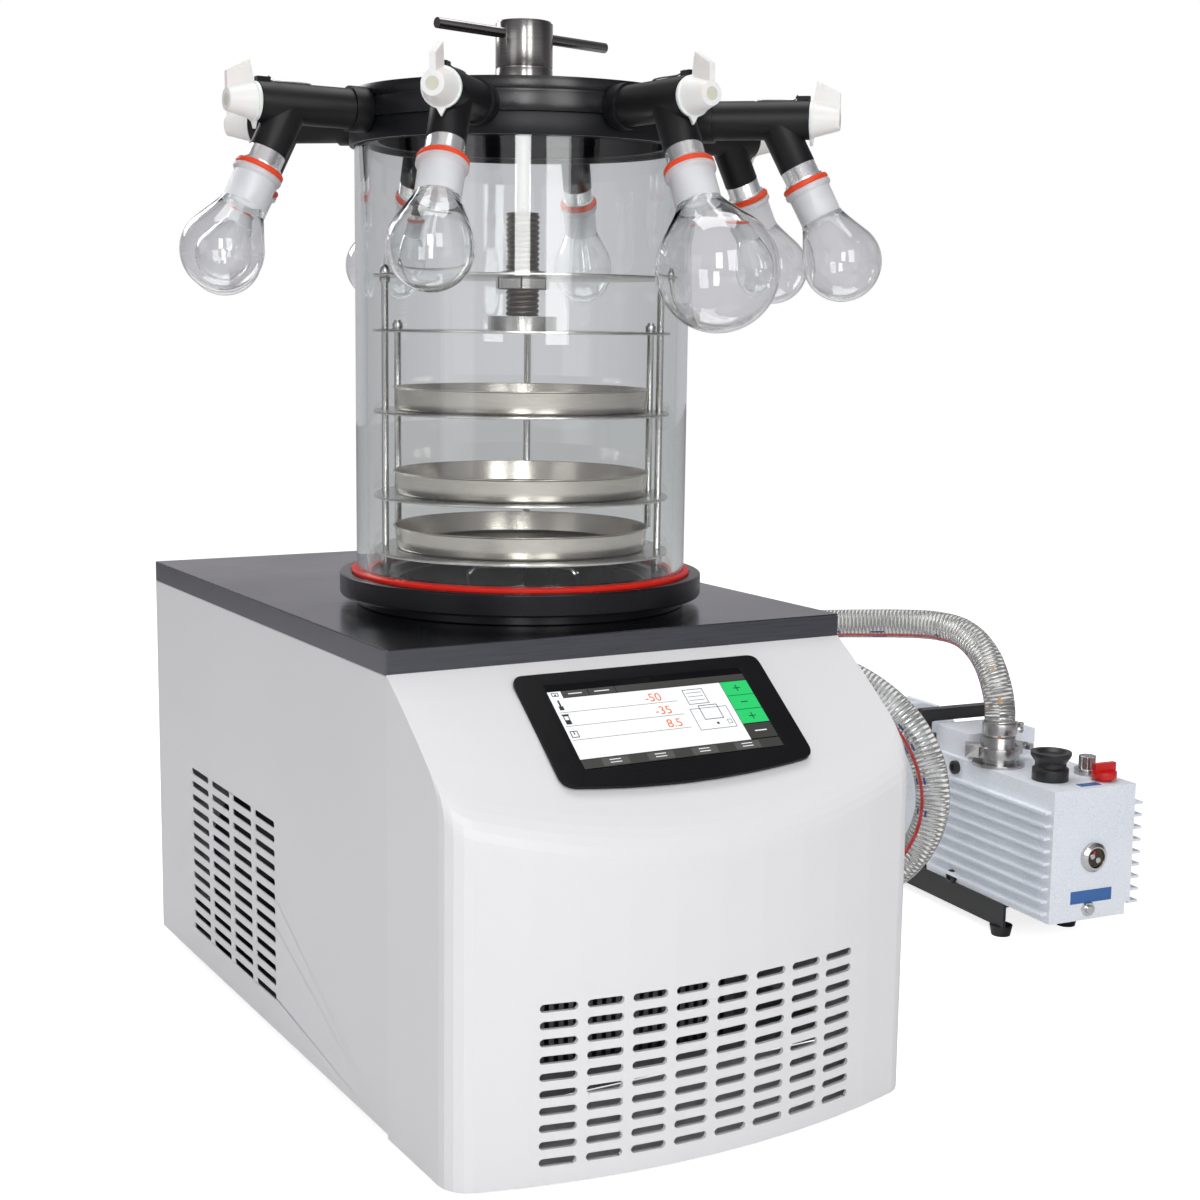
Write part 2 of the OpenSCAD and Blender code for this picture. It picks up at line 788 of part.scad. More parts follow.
// Valve knob: thin disc with a pointer, a tapered hub and a flat blade standing on it
module valve_knob(i) {
    x0 = arm_end + 0.5;
    top = arm_r + 14;
    color([0.93, 0.92, 0.88]) at_port(i - 1) {
        translate([branch_at - 17, 0, 0]) rod_x(bore_r, x0 - branch_at + 18);
        translate([x0, 0, 0]) rod_x(arm_r - 0.5, 2.5);
        translate([x0, 0, 0]) rotate([0, 90, 0]) cylinder(r1 = arm_r - 1, r2 = 8, h = knob_d);
        translate([x0, 0, -arm_r]) rotate([0, 90, 0]) cylinder(r = 4.5, h = 2.5, $fn = 3);
        rotate([90, 0, 0]) translate([0, 0, -blade_t / 2]) linear_extrude(blade_t)
            polygon([[x0 + 1, 2], [x0 + knob_d, 2], [x0 + knob_d, top - 9],
                [x0 + 4.5, top], [x0 + 2, arm_r]]);
    }
}

module valve_knob_1() {
    valve_knob(1);
}

module valve_knob_2() {
    valve_knob(2);
}

module valve_knob_3() {
    valve_knob(3);
}

module valve_knob_4() {
    valve_knob(4);
}

module valve_knob_5() {
    valve_knob(5);
}

module valve_knob_6() {
    valve_knob(6);
}

module valve_knob_7() {
    valve_knob(7);
}

module valve_knob_8() {
    valve_knob(8);
}

module flask_adapters() {
    color([0.78, 0.79, 0.8]) for (i = [0 : ports - 1]) on_branch(i) {
        translate([0, 0, -branch_len]) cylinder(r = 9 - run, h = 14);
        translate([0, 0, -collar_end]) cylinder(r = collar_r, h = collar_end - branch_len);
        translate([0, 0, -collar_end]) cylinder(r = collar_r + 1.5, h = 2);
        translate([0, 0, -collar_end - neck_len - 2])
            cylinder(r1 = plug_r - 1.3, r2 = plug_r, h = neck_len + 3);
    }
}

module neck_rings() {
    color([0.85, 0.2, 0.1]) for (i = [0 : ports - 1]) on_branch(i)
        translate([0, 0, -collar_end - ring_minor]) torus(ring_major, ring_minor);
}

// Pear shape hanging along -Z: a ball with a cone tangent to it, and a neck over it
module pear(ball, drop, neck, neck_low, neck_top) {
    d = drop - neck_low;
    far = sqrt(neck * neck + d * d);
    a = atan2(d, neck) - acos(ball / far);
    translate([0, 0, -drop]) sphere(r = ball, $fn = 96);
    translate([0, 0, ball * sin(a) - drop])
        cylinder(r1 = ball * cos(a), r2 = neck, h = d - ball * sin(a));
    translate([0, 0, -neck_low - cut]) cylinder(r = neck, h = neck_low - neck_top + cut);
}
module flask(i, ball, drop) {
    neck_low = lip_at + neck_len;
    color([0.88, 0.94, 0.96, 0.3]) on_branch(i - 1) difference() {
        union() {
            pear(ball, drop, neck_r, neck_low, lip_at);
            translate([0, 0, -lip_at - lip_h]) cylinder(r = lip_r, h = lip_h);
        }
        pear(ball - glass_t, drop, plug_r - 1, neck_low + 1.5, lip_at + 2);
        translate([0, 0, -neck_low - 1.5])
            cylinder(r1 = plug_r - 1, r2 = plug_r + 0.4, h = neck_len + 1.5 + cut);
    }
}

module flask_1() {
    flask(1, bulb_small, drop_small);
}

module flask_2() {
    flask(2, bulb_small, drop_small);
}

module flask_3() {
    flask(3, bulb_small, drop_small);
}

module flask_4() {
    flask(4, bulb_small, drop_small);
}

module flask_5() {
    flask(5, bulb_small, drop_small);
}

module flask_6() {
    flask(6, bulb_small, drop_small);
}

module flask_7() {
    flask(7, bulb_small, drop_small);
}

module flask_8() {
    flask(8, bulb_large, drop_large);
}

// ---------- pump ----------

// Cast case: box with fins along both sides, and a raised block at the back of its top
module pump_case() {
    w = pump_w;
    pitch = (pump_h - 18) / fin_count;
    color([0.78, 0.81, 0.86]) pump_frame() difference() {
        union() {
            translate([-w / 2, 0, pump_rise]) cube([w, pump_len, pump_h]);
            for (i = [0 : fin_count - 1])
                translate([-w / 2 - fin_d, 4, pump_rise + 8 + i * pitch])
                    cube([w + 2 * fin_d + fin_shift, pump_len - 12, 2.6]);
            translate([-w / 2 + 5, 140, pump_top - cut])
                cube([w - 14, pump_len - 141, block_h + cut]);
        }
        translate([0, -cut, pump_rise + 60]) rod_y(9, 8);
        translate([w / 2 - 6, -cut, pump_rise - cut]) cube([7, 9 + cut, 12 + cut]);
    }
}

module pump_motor() {
    y0 = pump_len + coupling_len;
    color([0.78, 0.81, 0.86]) pump_frame() {
        translate([-42, pump_len, pump_rise + 4]) cube([84, coupling_len + 2, coupling_h]);
        translate([0, y0, motor_z]) rod_y(motor_r, motor_len);
        translate([0, y0 + motor_len, motor_z]) rod_y(motor_r - 6, 16);
        for (a = [0 : 30 : 330])
            translate([0, y0 + 8, motor_z]) rotate([0, a, 0])
                translate([motor_r - 2, 0, -1]) cube([5, motor_len - 24, 2]);
        translate([-30, y0 + 6, pump_rise])
            cube([60, motor_len - 40, motor_z - motor_r - pump_rise + 12]);
    }
}

module pump_base() {
    color([0.06, 0.06, 0.06]) pump_frame() {
        difference() {
            translate([-48, 66, 10]) cube([96, 270, pump_rise - 10]);
            translate([-45, 63, 7]) cube([90, 276, pump_rise - 10]);
        }
        for (x = [-41, 37], y = [78, 322])
            translate([x, y, 0]) {
                cylinder(r1 = 9, r2 = 11, h = 10);
                cylinder(r = 3, h = pump_rise - 1);
            }
    }
}

module pump_handle() {
    color([0.06, 0.06, 0.06]) pump_frame() {
        foot_z = pump_rise + 4 + coupling_h;
        high = pump_top + 38;
        for (x = [-54, 30])
            translate([x, pump_len + 6, pump_top + 6]) cube([12, 12, high - pump_top - 6]);
        translate([-54, pump_len + 6, high - 12]) cube([96, 12, 12]);
        for (x = [-42, 30])
            translate([x, pump_len + 6, foot_z]) cube([12, 12, pump_top + 12 - foot_z]);
        translate([-54, pump_len + 6, pump_top]) cube([20, 12, 12]);
    }
}

// Flanged inlet with a hinged clamp, whose hinge and wing bolt stand out behind it
module inlet_fitting() {
    color([0.75, 0.75, 0.76]) pump_frame() translate([inlet_x, inlet_y, pump_top]) {
        rotate_extrude() union() {
            square([25, 3]);
            square([15.5, inlet_h]);
            translate([0, 8]) square([20, 10]);
        }
        rotate([0, 0, 145]) translate([18, -6, 7]) cube([14, 12, 13]);
        rotate([0, 0, 12]) translate([16, 0, 14]) {
            rod_x(3.5, 24);
            translate([2, -6, -6]) cube([10, 12, 12]);
            translate([20, -8, -3]) cube([5, 16, 6]);
        }
    }
}

module exhaust_cap() {
    color([0.05, 0.05, 0.05]) pump_frame() translate([-19, 43, pump_top]) rotate_extrude()
        polygon([[0, 0], [17, 0], [17, 11], [14.5, 13], [14.5, 17], [18, 22], [19, 24],
            [19, 27], [15, 27], [11, 24], [0, 24]]);
}

module oil_cap() {
    color([0.85, 0.1, 0.08]) pump_frame() translate([26, 21, pump_top]) {
        translate([0, 0, 0.2]) cylinder(r = 8, h = 4);
        translate([0, 0, 3]) cylinder(r = 12, h = 6);
        translate([-12, -2.5, 8]) cube([24, 5, 9]);
    }
}

module oil_fittings() {
    color([0.75, 0.75, 0.76]) pump_frame() {
        translate([29, 49, pump_top]) cylinder(r = 12, h = 6);
        translate([29, 49, pump_top]) cylinder(r = 8, h = 18);
        translate([0, -4, pump_rise + 60]) rod_y(14, 4);
        translate([0, -6, pump_rise + 60]) rod_y(9, 10);
        translate([-4, -4, pump_rise + 11]) rod_y(7, 4);
        translate([-4, -7, pump_rise + 11]) rod_y(4, 4);
    }
}

module hose_clamp() {
    color([0.75, 0.75, 0.76]) pump_frame()
        translate([inlet_x, inlet_y, pump_top + inlet_h + 3]) {
        difference() {
            cylinder(r = hose_r + 1.6, h = 11);
            translate([0, 0, -cut]) cylinder(r = hose_r + seat, h = 13);
        }
        translate([hose_r + 1, -6, 2]) cube([8, 12, 7]);
    }
}

// ---------- hose ----------

// Route from the vacuum port: down to the floor in one wide turn behind the cabinet, along
// its right side, up in a loop, back along the side panel, and over in an arch to the pump
hose_path = [
    [port_x, cab_back + port_reach, port_h], [port_x, cab_back + port_reach + 39, port_h],
    [port_x + 1, 470, 90], [134, 520, 60], [174, 563, 30], [234, 582, 17], [292, 568, 15.6],
    [334, 527, 15.6], [348, 467, 15.6], [340, 397, 15.6], [322, 318, 15.6], [310, 238, 15.8],
    [306, 160, 21], [307, 90, 38], [313, 25, 60], [320, -22, 77], [328, -60, 97],
    [334, -90, 122], [338, -108, 152], [338, -114, 184], [334, -106, 217], [325, -84, 247],
    [311, -49, 269], [292, -5, 282], [268, 47, 288], [242, 105, 289], [222, 170, 287],
    [213, 235, 284], [216, 297, 281], [230, 352, 278], [258, 396, 273], [300, 419, 269],
    [346, 415, 266], [386, 387, 264], [420, 346, 262], [450, 301, 264], [480, 253, 268],
    [506, 207, 273], [528, 168, 277], [543, 135, 279], [550, 106, 277], [550, 82, 270],
    [547.5, 61, 258], [543.5, 45, 244], [539.6, 33, 229], [537.3, 26.3, 214]];
hose_end = [
    pump_x + inlet_x * cos(pump_turn) - inlet_y * sin(pump_turn),
    pump_y + inlet_x * sin(pump_turn) + inlet_y * cos(pump_turn),
    pump_top + inlet_h];
function unit(v) = v / norm(v);
function spline(p, i, t) =
    let (a = p[max(i - 1, 0)], b = p[i], c = p[i + 1], d = p[min(i + 2, len(p) - 1)])
    0.5 * (2 * b + (c - a) * t + (2 * a - 5 * b + 4 * c - d) * t * t
        + (3 * b - a - 3 * c + d) * t * t * t);
function frames(pts, i, up, out) =
    i >= len(pts) ? out :
    let (t = unit(pts[min(i + 1, len(pts) - 1)] - pts[max(i - 1, 0)]),
        u = unit(up - t * (up * t)))
    frames(pts, i + 1, u, concat(out, [[u, cross(t, u)]]));
module sweep(pts, r, sides, first_up) {
    f = frames(pts, 0, first_up, []);
    n = len(pts);
    polyhedron(
        [for (i = [0 : n - 1], k = [0 : sides - 1])
            pts[i] + r * (f[i][0] * cos(360 * k / sides) + f[i][1] * sin(360 * k / sides))],
        concat(
            [for (i = [0 : n - 2], k = [0 : sides - 1]) let (q = (k + 1) % sides)
                [i * sides + k, (i + 1) * sides + q, i * sides + q]],
            [for (i = [0 : n - 2], k = [0 : sides - 1]) let (q = (k + 1) % sides)
                [i * sides + k, (i + 1) * sides + k, (i + 1) * sides + q]],
            [[for (k = [0 : sides - 1]) k]],
            [[for (k = [sides - 1 : -1 : 0]) (n - 1) * sides + k]]));
}
module vacuum_hose() {
    all = concat(hose_path, [hose_end + [0, 0, 14], hose_end + [0, 0, 7], hose_end]);
    n = len(all);
    pts = concat([for (i = [0 : n - 2], t = [0, 0.5]) spline(all, i, t)], [all[n - 1]]);
    color([0.8, 0.8, 0.8, 0.6]) sweep(pts, hose_r, 12, [0, 0, 1]);
}

base_pan();
unit_feet();
side_panel_left();
side_panel_right();
rear_panel();
top_cover();
front_panel();
screen_bezel();
touch_screen();
cold_trap();
evaporator_coil();
compressor();
condenser();
fan_blade();
vacuum_port();
base_ring();
base_gasket();
chamber_cylinder();
lid_seal();
manifold_lid();
spindle_handle();
press_screw();
press_plate();
nut_plate();
shelf_upper();
shelf_middle();
shelf_lower();
tray_upper();
tray_middle();
tray_lower();
rack_rods();
valve_bodies();
valve_knob_1();
valve_knob_2();
valve_knob_3();
valve_knob_4();
valve_knob_5();
valve_knob_6();
valve_knob_7();
valve_knob_8();
flask_adapters();
neck_rings();
flask_1();
flask_2();
flask_3();
flask_4();
flask_5();
flask_6();
flask_7();
flask_8();
pump_case();
pump_motor();
pump_base();
pump_handle();
inlet_fitting();
exhaust_cap();
oil_cap();
oil_fittings();
hose_clamp();
vacuum_hose();
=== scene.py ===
import math

import bmesh
import bpy
from mathutils import Matrix, Vector


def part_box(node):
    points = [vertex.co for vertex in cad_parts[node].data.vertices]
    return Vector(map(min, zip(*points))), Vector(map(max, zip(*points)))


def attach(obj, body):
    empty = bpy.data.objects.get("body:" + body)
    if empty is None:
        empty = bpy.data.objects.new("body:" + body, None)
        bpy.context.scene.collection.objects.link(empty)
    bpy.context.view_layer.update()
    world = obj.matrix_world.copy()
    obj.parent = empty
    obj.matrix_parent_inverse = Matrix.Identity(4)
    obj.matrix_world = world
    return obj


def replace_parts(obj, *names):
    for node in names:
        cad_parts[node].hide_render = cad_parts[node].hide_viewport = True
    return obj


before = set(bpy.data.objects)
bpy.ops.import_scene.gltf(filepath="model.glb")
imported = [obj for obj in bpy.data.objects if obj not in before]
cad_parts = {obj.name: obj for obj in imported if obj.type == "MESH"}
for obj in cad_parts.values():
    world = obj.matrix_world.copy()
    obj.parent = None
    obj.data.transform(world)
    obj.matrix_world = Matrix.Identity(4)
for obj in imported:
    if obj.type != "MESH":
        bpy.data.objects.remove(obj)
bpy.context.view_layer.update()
scene = bpy.context.scene

# ---------- Where the dryer stands ----------
# A pale bench top that runs out into a white sweep. Two upright soft boxes stand in front,
# others at the left side, behind and overhead, and the rest of the studio is a soft grey.


def fresh(name, colour, rough, metallic=0.0):
    """A new finish: one Principled shader with its plain colour, roughness and metallic."""
    finish = bpy.data.materials.new(name)
    finish.use_nodes = True
    shader = finish.node_tree.nodes["Principled BSDF"]
    shader.inputs["Base Color"].default_value = (*colour, 1)
    shader.inputs["Roughness"].default_value = rough
    shader.inputs["Metallic"].default_value = metallic
    return finish, shader


def effect(name, inputs, outputs):
    """A shader effect that several finishes use, with named inputs and outputs."""
    group = bpy.data.node_groups.new(name, "ShaderNodeTree")
    for label, kind, value in inputs:
        group.interface.new_socket(label, in_out="INPUT", socket_type=kind).default_value = value
    for label in outputs:
        group.interface.new_socket(label, in_out="OUTPUT", socket_type="NodeSocketFloat")
    return group, group.nodes.new("NodeGroupInput"), group.nodes.new("NodeGroupOutput")


def worked(finish, group, values, tint=None, rough=None, bump=0.0, height=0.0002, glow=None):
    """Lays an effect over a finish: its Mask turns the colour towards tint, the glow towards
    glow and the roughness towards rough, and its Height drives a bump of that strength and
    height in metres."""
    tree = finish.node_tree
    shader = tree.nodes["Principled BSDF"]
    node = tree.nodes.new("ShaderNodeGroup")
    node.node_tree = group
    for label, value in values.items():
        node.inputs[label].default_value = value
    for label, target in (("Base Color", tint), ("Emission Color", glow), ("Roughness", rough)):
        if target is None:
            continue
        colour = label != "Roughness"
        mix = tree.nodes.new("ShaderNodeMix")
        mix.data_type = "RGBA" if colour else "FLOAT"
        first, second, out = (6, 7, 2) if colour else (2, 3, 0)
        socket = shader.inputs[label]
        if socket.links:
            tree.links.new(socket.links[0].from_socket, mix.inputs[first])
        else:
            mix.inputs[first].default_value = socket.default_value
        mix.inputs[second].default_value = (*target, 1) if colour else target
        tree.links.new(node.outputs["Mask"], mix.inputs[0])
        tree.links.new(mix.outputs[out], socket)
    if bump:
        dent = tree.nodes.new("ShaderNodeBump")
        dent.inputs["Strength"].default_value = bump
        dent.inputs["Distance"].default_value = height
        tree.links.new(node.outputs["Height"], dent.inputs["Height"])
        socket = shader.inputs["Normal"]
        if socket.links:
            tree.links.new(socket.links[0].from_socket, dent.inputs["Normal"])
        tree.links.new(dent.outputs["Normal"], socket)
    return finish


# Fine grain of a moulded, cast or painted surface, with a slow change from place to place
grain, g_in, g_out = effect(
    "fine grain",
    [("Scale", "NodeSocketFloat", 1500.0), ("Patches", "NodeSocketFloat", 9.0),
     ("Amount", "NodeSocketFloat", 0.5)],
    ["Mask", "Height"],
)
place = grain.nodes.new("ShaderNodeTexCoord")
pits = grain.nodes.new("ShaderNodeTexNoise")
pits.inputs["Detail"].default_value = 2
patches = grain.nodes.new("ShaderNodeTexNoise")
patches.inputs["Detail"].default_value = 3
spread = grain.nodes.new("ShaderNodeMapRange")
spread.inputs["From Min"].default_value = 0.35
spread.inputs["From Max"].default_value = 0.68
for a, b in (
    (place.outputs["Object"], pits.inputs["Vector"]),
    (place.outputs["Object"], patches.inputs["Vector"]),
    (g_in.outputs["Scale"], pits.inputs["Scale"]),
    (g_in.outputs["Patches"], patches.inputs["Scale"]),
    (g_in.outputs["Amount"], spread.inputs["To Max"]),
    (patches.outputs["Fac"], spread.inputs["Value"]),
    (spread.outputs["Result"], g_out.inputs["Mask"]),
    (pits.outputs["Fac"], g_out.inputs["Height"]),
):
    grain.links.new(a, b)

yaw, pitch, roll = (math.radians(a) for a in (30.07, 8.39, 0.74))
ahead = Vector((math.sin(yaw) * math.cos(pitch), math.cos(yaw) * math.cos(pitch),
                -math.sin(pitch)))
right = Vector((math.cos(yaw), -math.sin(yaw), 0))
above = right.cross(ahead)
right, above = (right * math.cos(roll) + above * math.sin(roll),
                above * math.cos(roll) - right * math.sin(roll))
camera = bpy.data.objects.new("camera", bpy.data.cameras.new("camera"))
camera.matrix_world = Matrix.Translation((-0.6908, -1.3204, 0.5775)) @ Matrix(
    (right, above, -ahead)).transposed().to_4x4()
camera.data.lens = 56.3
camera.data.clip_start = 0.02
scene.collection.objects.link(camera)
scene.camera = camera

scene.view_settings.view_transform = "Standard"
world = bpy.data.worlds.new("studio")
world.use_nodes = True
tree = world.node_tree
room = tree.nodes["Background"]
look = tree.nodes.new("ShaderNodeTexCoord")
facing = tree.nodes.new("ShaderNodeVectorMath")
facing.operation = "DOT_PRODUCT"
facing.inputs[1].default_value = (0.5, 0.5 * math.sqrt(3), 0)
walls = tree.nodes.new("ShaderNodeValToRGB")
level = tree.nodes.new("ShaderNodeMapRange")
level.inputs["From Min"].default_value = -1
split = tree.nodes.new("ShaderNodeSeparateXYZ")
ceiling = tree.nodes.new("ShaderNodeValToRGB")
# How bright the studio is: walls from before the dryer (0) to behind it (1), ceiling by height
wall_greys = ((0, 0.78), (0.25, 0.50), (0.5, 0.17), (0.75, 0.22), (0.92, 0.52), (1, 0.58))
ceiling_greys = ((0.1, 1), (0.45, 0.55), (1, 0.9))
for ramp, stops in ((walls, wall_greys), (ceiling, ceiling_greys)):
    while len(ramp.color_ramp.elements) < len(stops):
        ramp.color_ramp.elements.new(0.5)
    for stop, (position, grey) in zip(ramp.color_ramp.elements, stops):
        stop.position = position
        stop.color = (grey * 1.01, grey * 0.98, grey * 1.03, 1)
sweep = tree.nodes.new("ShaderNodeBackground")
seen = tree.nodes.new("ShaderNodeLightPath")
both = tree.nodes.new("ShaderNodeMixShader")
for a, b in (
    (look.outputs["Generated"], facing.inputs[0]),
    (look.outputs["Generated"], split.inputs[0]),
    (facing.outputs["Value"], level.inputs["Value"]),
    (level.outputs["Result"], walls.inputs[0]),
    (walls.outputs[0], room.inputs["Color"]),
    (split.outputs["Z"], ceiling.inputs[0]),
    (ceiling.outputs[0], room.inputs["Strength"]),
    (seen.outputs["Is Camera Ray"], both.inputs[0]),
    (room.outputs[0], both.inputs[1]),
    (sweep.outputs[0], both.inputs[2]),
    (both.outputs[0], tree.nodes["World Output"].inputs["Surface"]),
):
    tree.links.new(a, b)
sweep.inputs["Color"].default_value = (1, 1, 1, 1)
scene.world = world


def soft_box(name, spot, aim, width, height, glow):
    """A rectangular soft box at a spot, turned to a point. glow is its own brightness."""
    lamp = bpy.data.lights.new(name, "AREA")
    lamp.shape = "RECTANGLE"
    lamp.size, lamp.size_y, lamp.energy = width, height, glow * math.pi * width * height
    box = bpy.data.objects.new(name, lamp)
    box.location = spot
    box.rotation_euler = (Vector(aim) - Vector(spot)).to_track_quat("-Z", "Y").to_euler()
    scene.collection.objects.link(box)


soft_box("right upright soft box", (-0.2, -2.5, 1.25), (0, 0, 0.5), 0.72, 1.5, 4.4)
soft_box("left upright soft box", (-1.2, -2.27, 1.25), (0, 0, 0.5), 0.48, 1.2, 9.0)
soft_box("side soft box", (-2.7, -0.9, 0.95), (0, 0.1, 0.2), 1.2, 1.5, 0.7)
soft_box("rear soft box", (-0.6, 2.0, 1.6), (0.5, 0, 0.1), 1.0, 1.0, 4.5)
soft_box("overhead soft box", (0.2, 0.2, 2.4), (0.1, 0, 0), 1.5, 1.5, 3.4)

bench = bpy.data.meshes.new("bench_top")
bench.from_pydata([(-9, -9, 0), (9, -9, 0), (9, 9, 0), (-9, 9, 0)], [], [(0, 1, 2, 3)])
bench_top = bpy.data.objects.new("bench_top", bench)
scene.collection.objects.link(bench_top)
bench_white, shader = fresh("pale bench laminate", (0.85, 0.85, 0.855), 0.7)
worked(bench_white, grain, {"Scale": 300.0}, tint=(0.83, 0.83, 0.835))
tree = bench_white.node_tree
seen = tree.nodes.new("ShaderNodeLightPath")
lift = tree.nodes.new("ShaderNodeMath")
lift.operation = "MULTIPLY"
lift.inputs[1].default_value = 0.80
through = tree.nodes.new("ShaderNodeMath")
through.operation = "MULTIPLY_ADD"
through.inputs[1].default_value = 0.24
shader.inputs["Emission Color"].default_value = (1, 1, 1, 1)
tree.links.new(seen.outputs["Is Camera Ray"], lift.inputs[0])
tree.links.new(seen.outputs["Is Transmission Ray"], through.inputs[0])
tree.links.new(lift.outputs[0], through.inputs[2])
tree.links.new(through.outputs[0], shader.inputs["Emission Strength"])
bench.materials.append(bench_white)

# ---------- Base pan and feet ----------
# Folded zinc-plated sheet pan that carries the whole cabinet, on five turned rubber feet.
# The edges of the sheet are slightly broken, as folded and sheared metal is.


def shade_evenly(part):
    """Lets the large faces of a piece set its shading, so that narrow ones don't tilt it."""
    even = part.modifiers.new("even shading", "WEIGHTED_NORMAL")
    even.weight = 100
    even.keep_sharp = True


def keep(node, finish, edge=0.0, crisp=30):
    """Gives a frame part its finish and, where edge is set, edges broken by that much."""
    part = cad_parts[node]
    part.data.materials.clear()
    part.data.materials.append(finish)
    weld = part.modifiers.new("weld", "WELD")
    weld.merge_threshold = 0.00001
    if edge:
        broken = part.modifiers.new("broken edges", "BEVEL")
        broken.width = edge
        broken.segments = 2
        broken.limit_method = "ANGLE"
        broken.angle_limit = math.radians(crisp)
    return part


def piece(name, mesh, finish, body, crisp=35):
    """A new piece from a bmesh: shaded smooth except over edges sharper than crisp. finish
    may be a list, one for each material number of the faces."""
    bmesh.ops.recalc_face_normals(mesh, faces=mesh.faces)
    data = bpy.data.meshes.new(name)
    mesh.to_mesh(data)
    mesh.free()
    data.shade_smooth()
    data.set_sharp_from_angle(angle=math.radians(crisp))
    for one in finish if isinstance(finish, list) else [finish]:
        data.materials.append(one)
    made = bpy.data.objects.new(name, data)
    scene.collection.objects.link(made)
    shade_evenly(made)
    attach(made, body)
    return made


def corners(outline, ease=0.0, steps=4):
    """The outline's points with each corner rounded by ease, or by its own third number."""
    eased = []
    for i, point in enumerate(outline):
        here = Vector(point[:2])
        radius = point[2] if len(point) > 2 else ease
        before, after = (Vector(outline[(i + k) % len(outline)][:2]) - here for k in (-1, 1))
        if radius <= 0 or min(before.length, after.length) < 1e-7:
            eased.append(tuple(here))
            continue
        half = before.angle(after) / 2
        if half > 1.55:
            eased.append(tuple(here))
            continue
        run = min(radius / math.tan(half), before.length * 0.49, after.length * 0.49)
        a, b = here + before.normalized() * run, here + after.normalized() * run
        for k in range(steps + 1):
            t = k / steps
            eased.append(tuple(a * (1 - t) ** 2 + here * 2 * t * (1 - t) + b * t * t))
    return eased


def turn(mesh, outline, steps=64, place=Matrix.Identity(4)):
    """Adds a turned form to a bmesh: outline is (radius, height) round the Z axis of place.
    An outline that starts and ends on the axis is a solid, and any other one is a ring."""
    rings = []
    for radius, height in outline:
        count = 1 if radius < 1e-6 else steps
        rings.append([
            mesh.verts.new(place @ Vector((radius * math.cos(math.tau * k / steps),
                                           radius * math.sin(math.tau * k / steps), height)))
            for k in range(count)])
    if len(rings[0]) > 1 or len(rings[-1]) > 1:
        rings.append(rings[0])
    faces = []
    for low, high in zip(rings, rings[1:]):
        for k in range(steps):
            q = (k + 1) % steps
            around = [low[k % len(low)], low[q % len(low)], high[q % len(high)],
                      high[k % len(high)]]
            around = list(dict.fromkeys(around))
            if len(around) > 2:
                faces.append(mesh.faces.new(around))
    return faces


def slab(mesh, low, high, place=Matrix.Identity(4)):
    """Adds a block between two corners of place to a bmesh."""
    made = bmesh.ops.create_cube(mesh, size=1.0)["verts"]
    low, high = Vector(low), Vector(high)
    for v in made:
        v.co = place @ ((low + high) / 2 + Vector(a * b for a, b in zip(v.co, high - low)))
    return made


zinc, _ = fresh("zinc-plated sheet", (0.45, 0.46, 0.47), 0.38, 1.0)
worked(zinc, grain, {"Scale": 700.0, "Patches": 40.0, "Amount": 0.7},
       tint=(0.36, 0.37, 0.38), rough=0.5, bump=0.1)
keep("base_pan", zinc, 0.0006)

foot_rubber, _ = fresh("foot rubber", (0.02, 0.02, 0.022), 0.75)
worked(foot_rubber, grain, {"Scale": 900.0}, tint=(0.04, 0.04, 0.04), bump=0.25)
low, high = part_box("unit_feet")
mesh = bmesh.new()
foot = corners([(0, high.z), (0, 0.0), (0.0132, 0.0, 0.002), (0.0158, high.z, 0.001)])
for spot in [(0, 0)] + [(x, y) for x in (low.x + 0.016, high.x - 0.016)
                        for y in (low.y + 0.016, high.y - 0.016)]:
    turn(mesh, foot[1:] + foot[:1], 32, Matrix.Translation((*spot, 0)))
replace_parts(piece("rubber_feet", mesh, foot_rubber, "cabinet"), "unit_feet")

# ---------- Side and rear panels ----------
# Powder-coated steel sheet, white with a faint orange-peel surface. The vent slots are
# punched, so their rims are slightly rounded.

powder_coat, _ = fresh("white powder coat", (0.79, 0.79, 0.80), 0.42)
worked(powder_coat, grain, {"Scale": 620.0, "Patches": 4.0, "Amount": 0.6},
       tint=(0.76, 0.76, 0.77), rough=0.5, bump=0.22, height=0.0004)
for node in ("side_panel_left", "side_panel_right", "rear_panel"):
    keep(node, powder_coat, 0.0004, 60)

# ---------- Top cover ----------
# One brushed stainless sheet with its edge folded down all round. The brushing runs
# across the cabinet, and the surface has soft smears from wiping.

brushed, b_in, b_out = effect(
    "brushed lines",
    [("Stretch", "NodeSocketVector", (20.0, 900.0, 900.0)), ("Amount", "NodeSocketFloat", 0.6)],
    ["Mask", "Height"],
)
place = brushed.nodes.new("ShaderNodeTexCoord")
stretch = brushed.nodes.new("ShaderNodeVectorMath")
stretch.operation = "MULTIPLY"
lines = brushed.nodes.new("ShaderNodeTexNoise")
lines.inputs["Scale"].default_value = 1
lines.inputs["Detail"].default_value = 4
level = brushed.nodes.new("ShaderNodeMapRange")
level.inputs["From Min"].default_value = 0.3
level.inputs["From Max"].default_value = 0.7
for a, b in (
    (place.outputs["Object"], stretch.inputs[0]),
    (b_in.outputs["Stretch"], stretch.inputs[1]),
    (stretch.outputs[0], lines.inputs["Vector"]),
    (lines.outputs["Fac"], level.inputs["Value"]),
    (b_in.outputs["Amount"], level.inputs["To Max"]),
    (level.outputs["Result"], b_out.inputs["Mask"]),
    (lines.outputs["Fac"], b_out.inputs["Height"]),
):
    brushed.links.new(a, b)

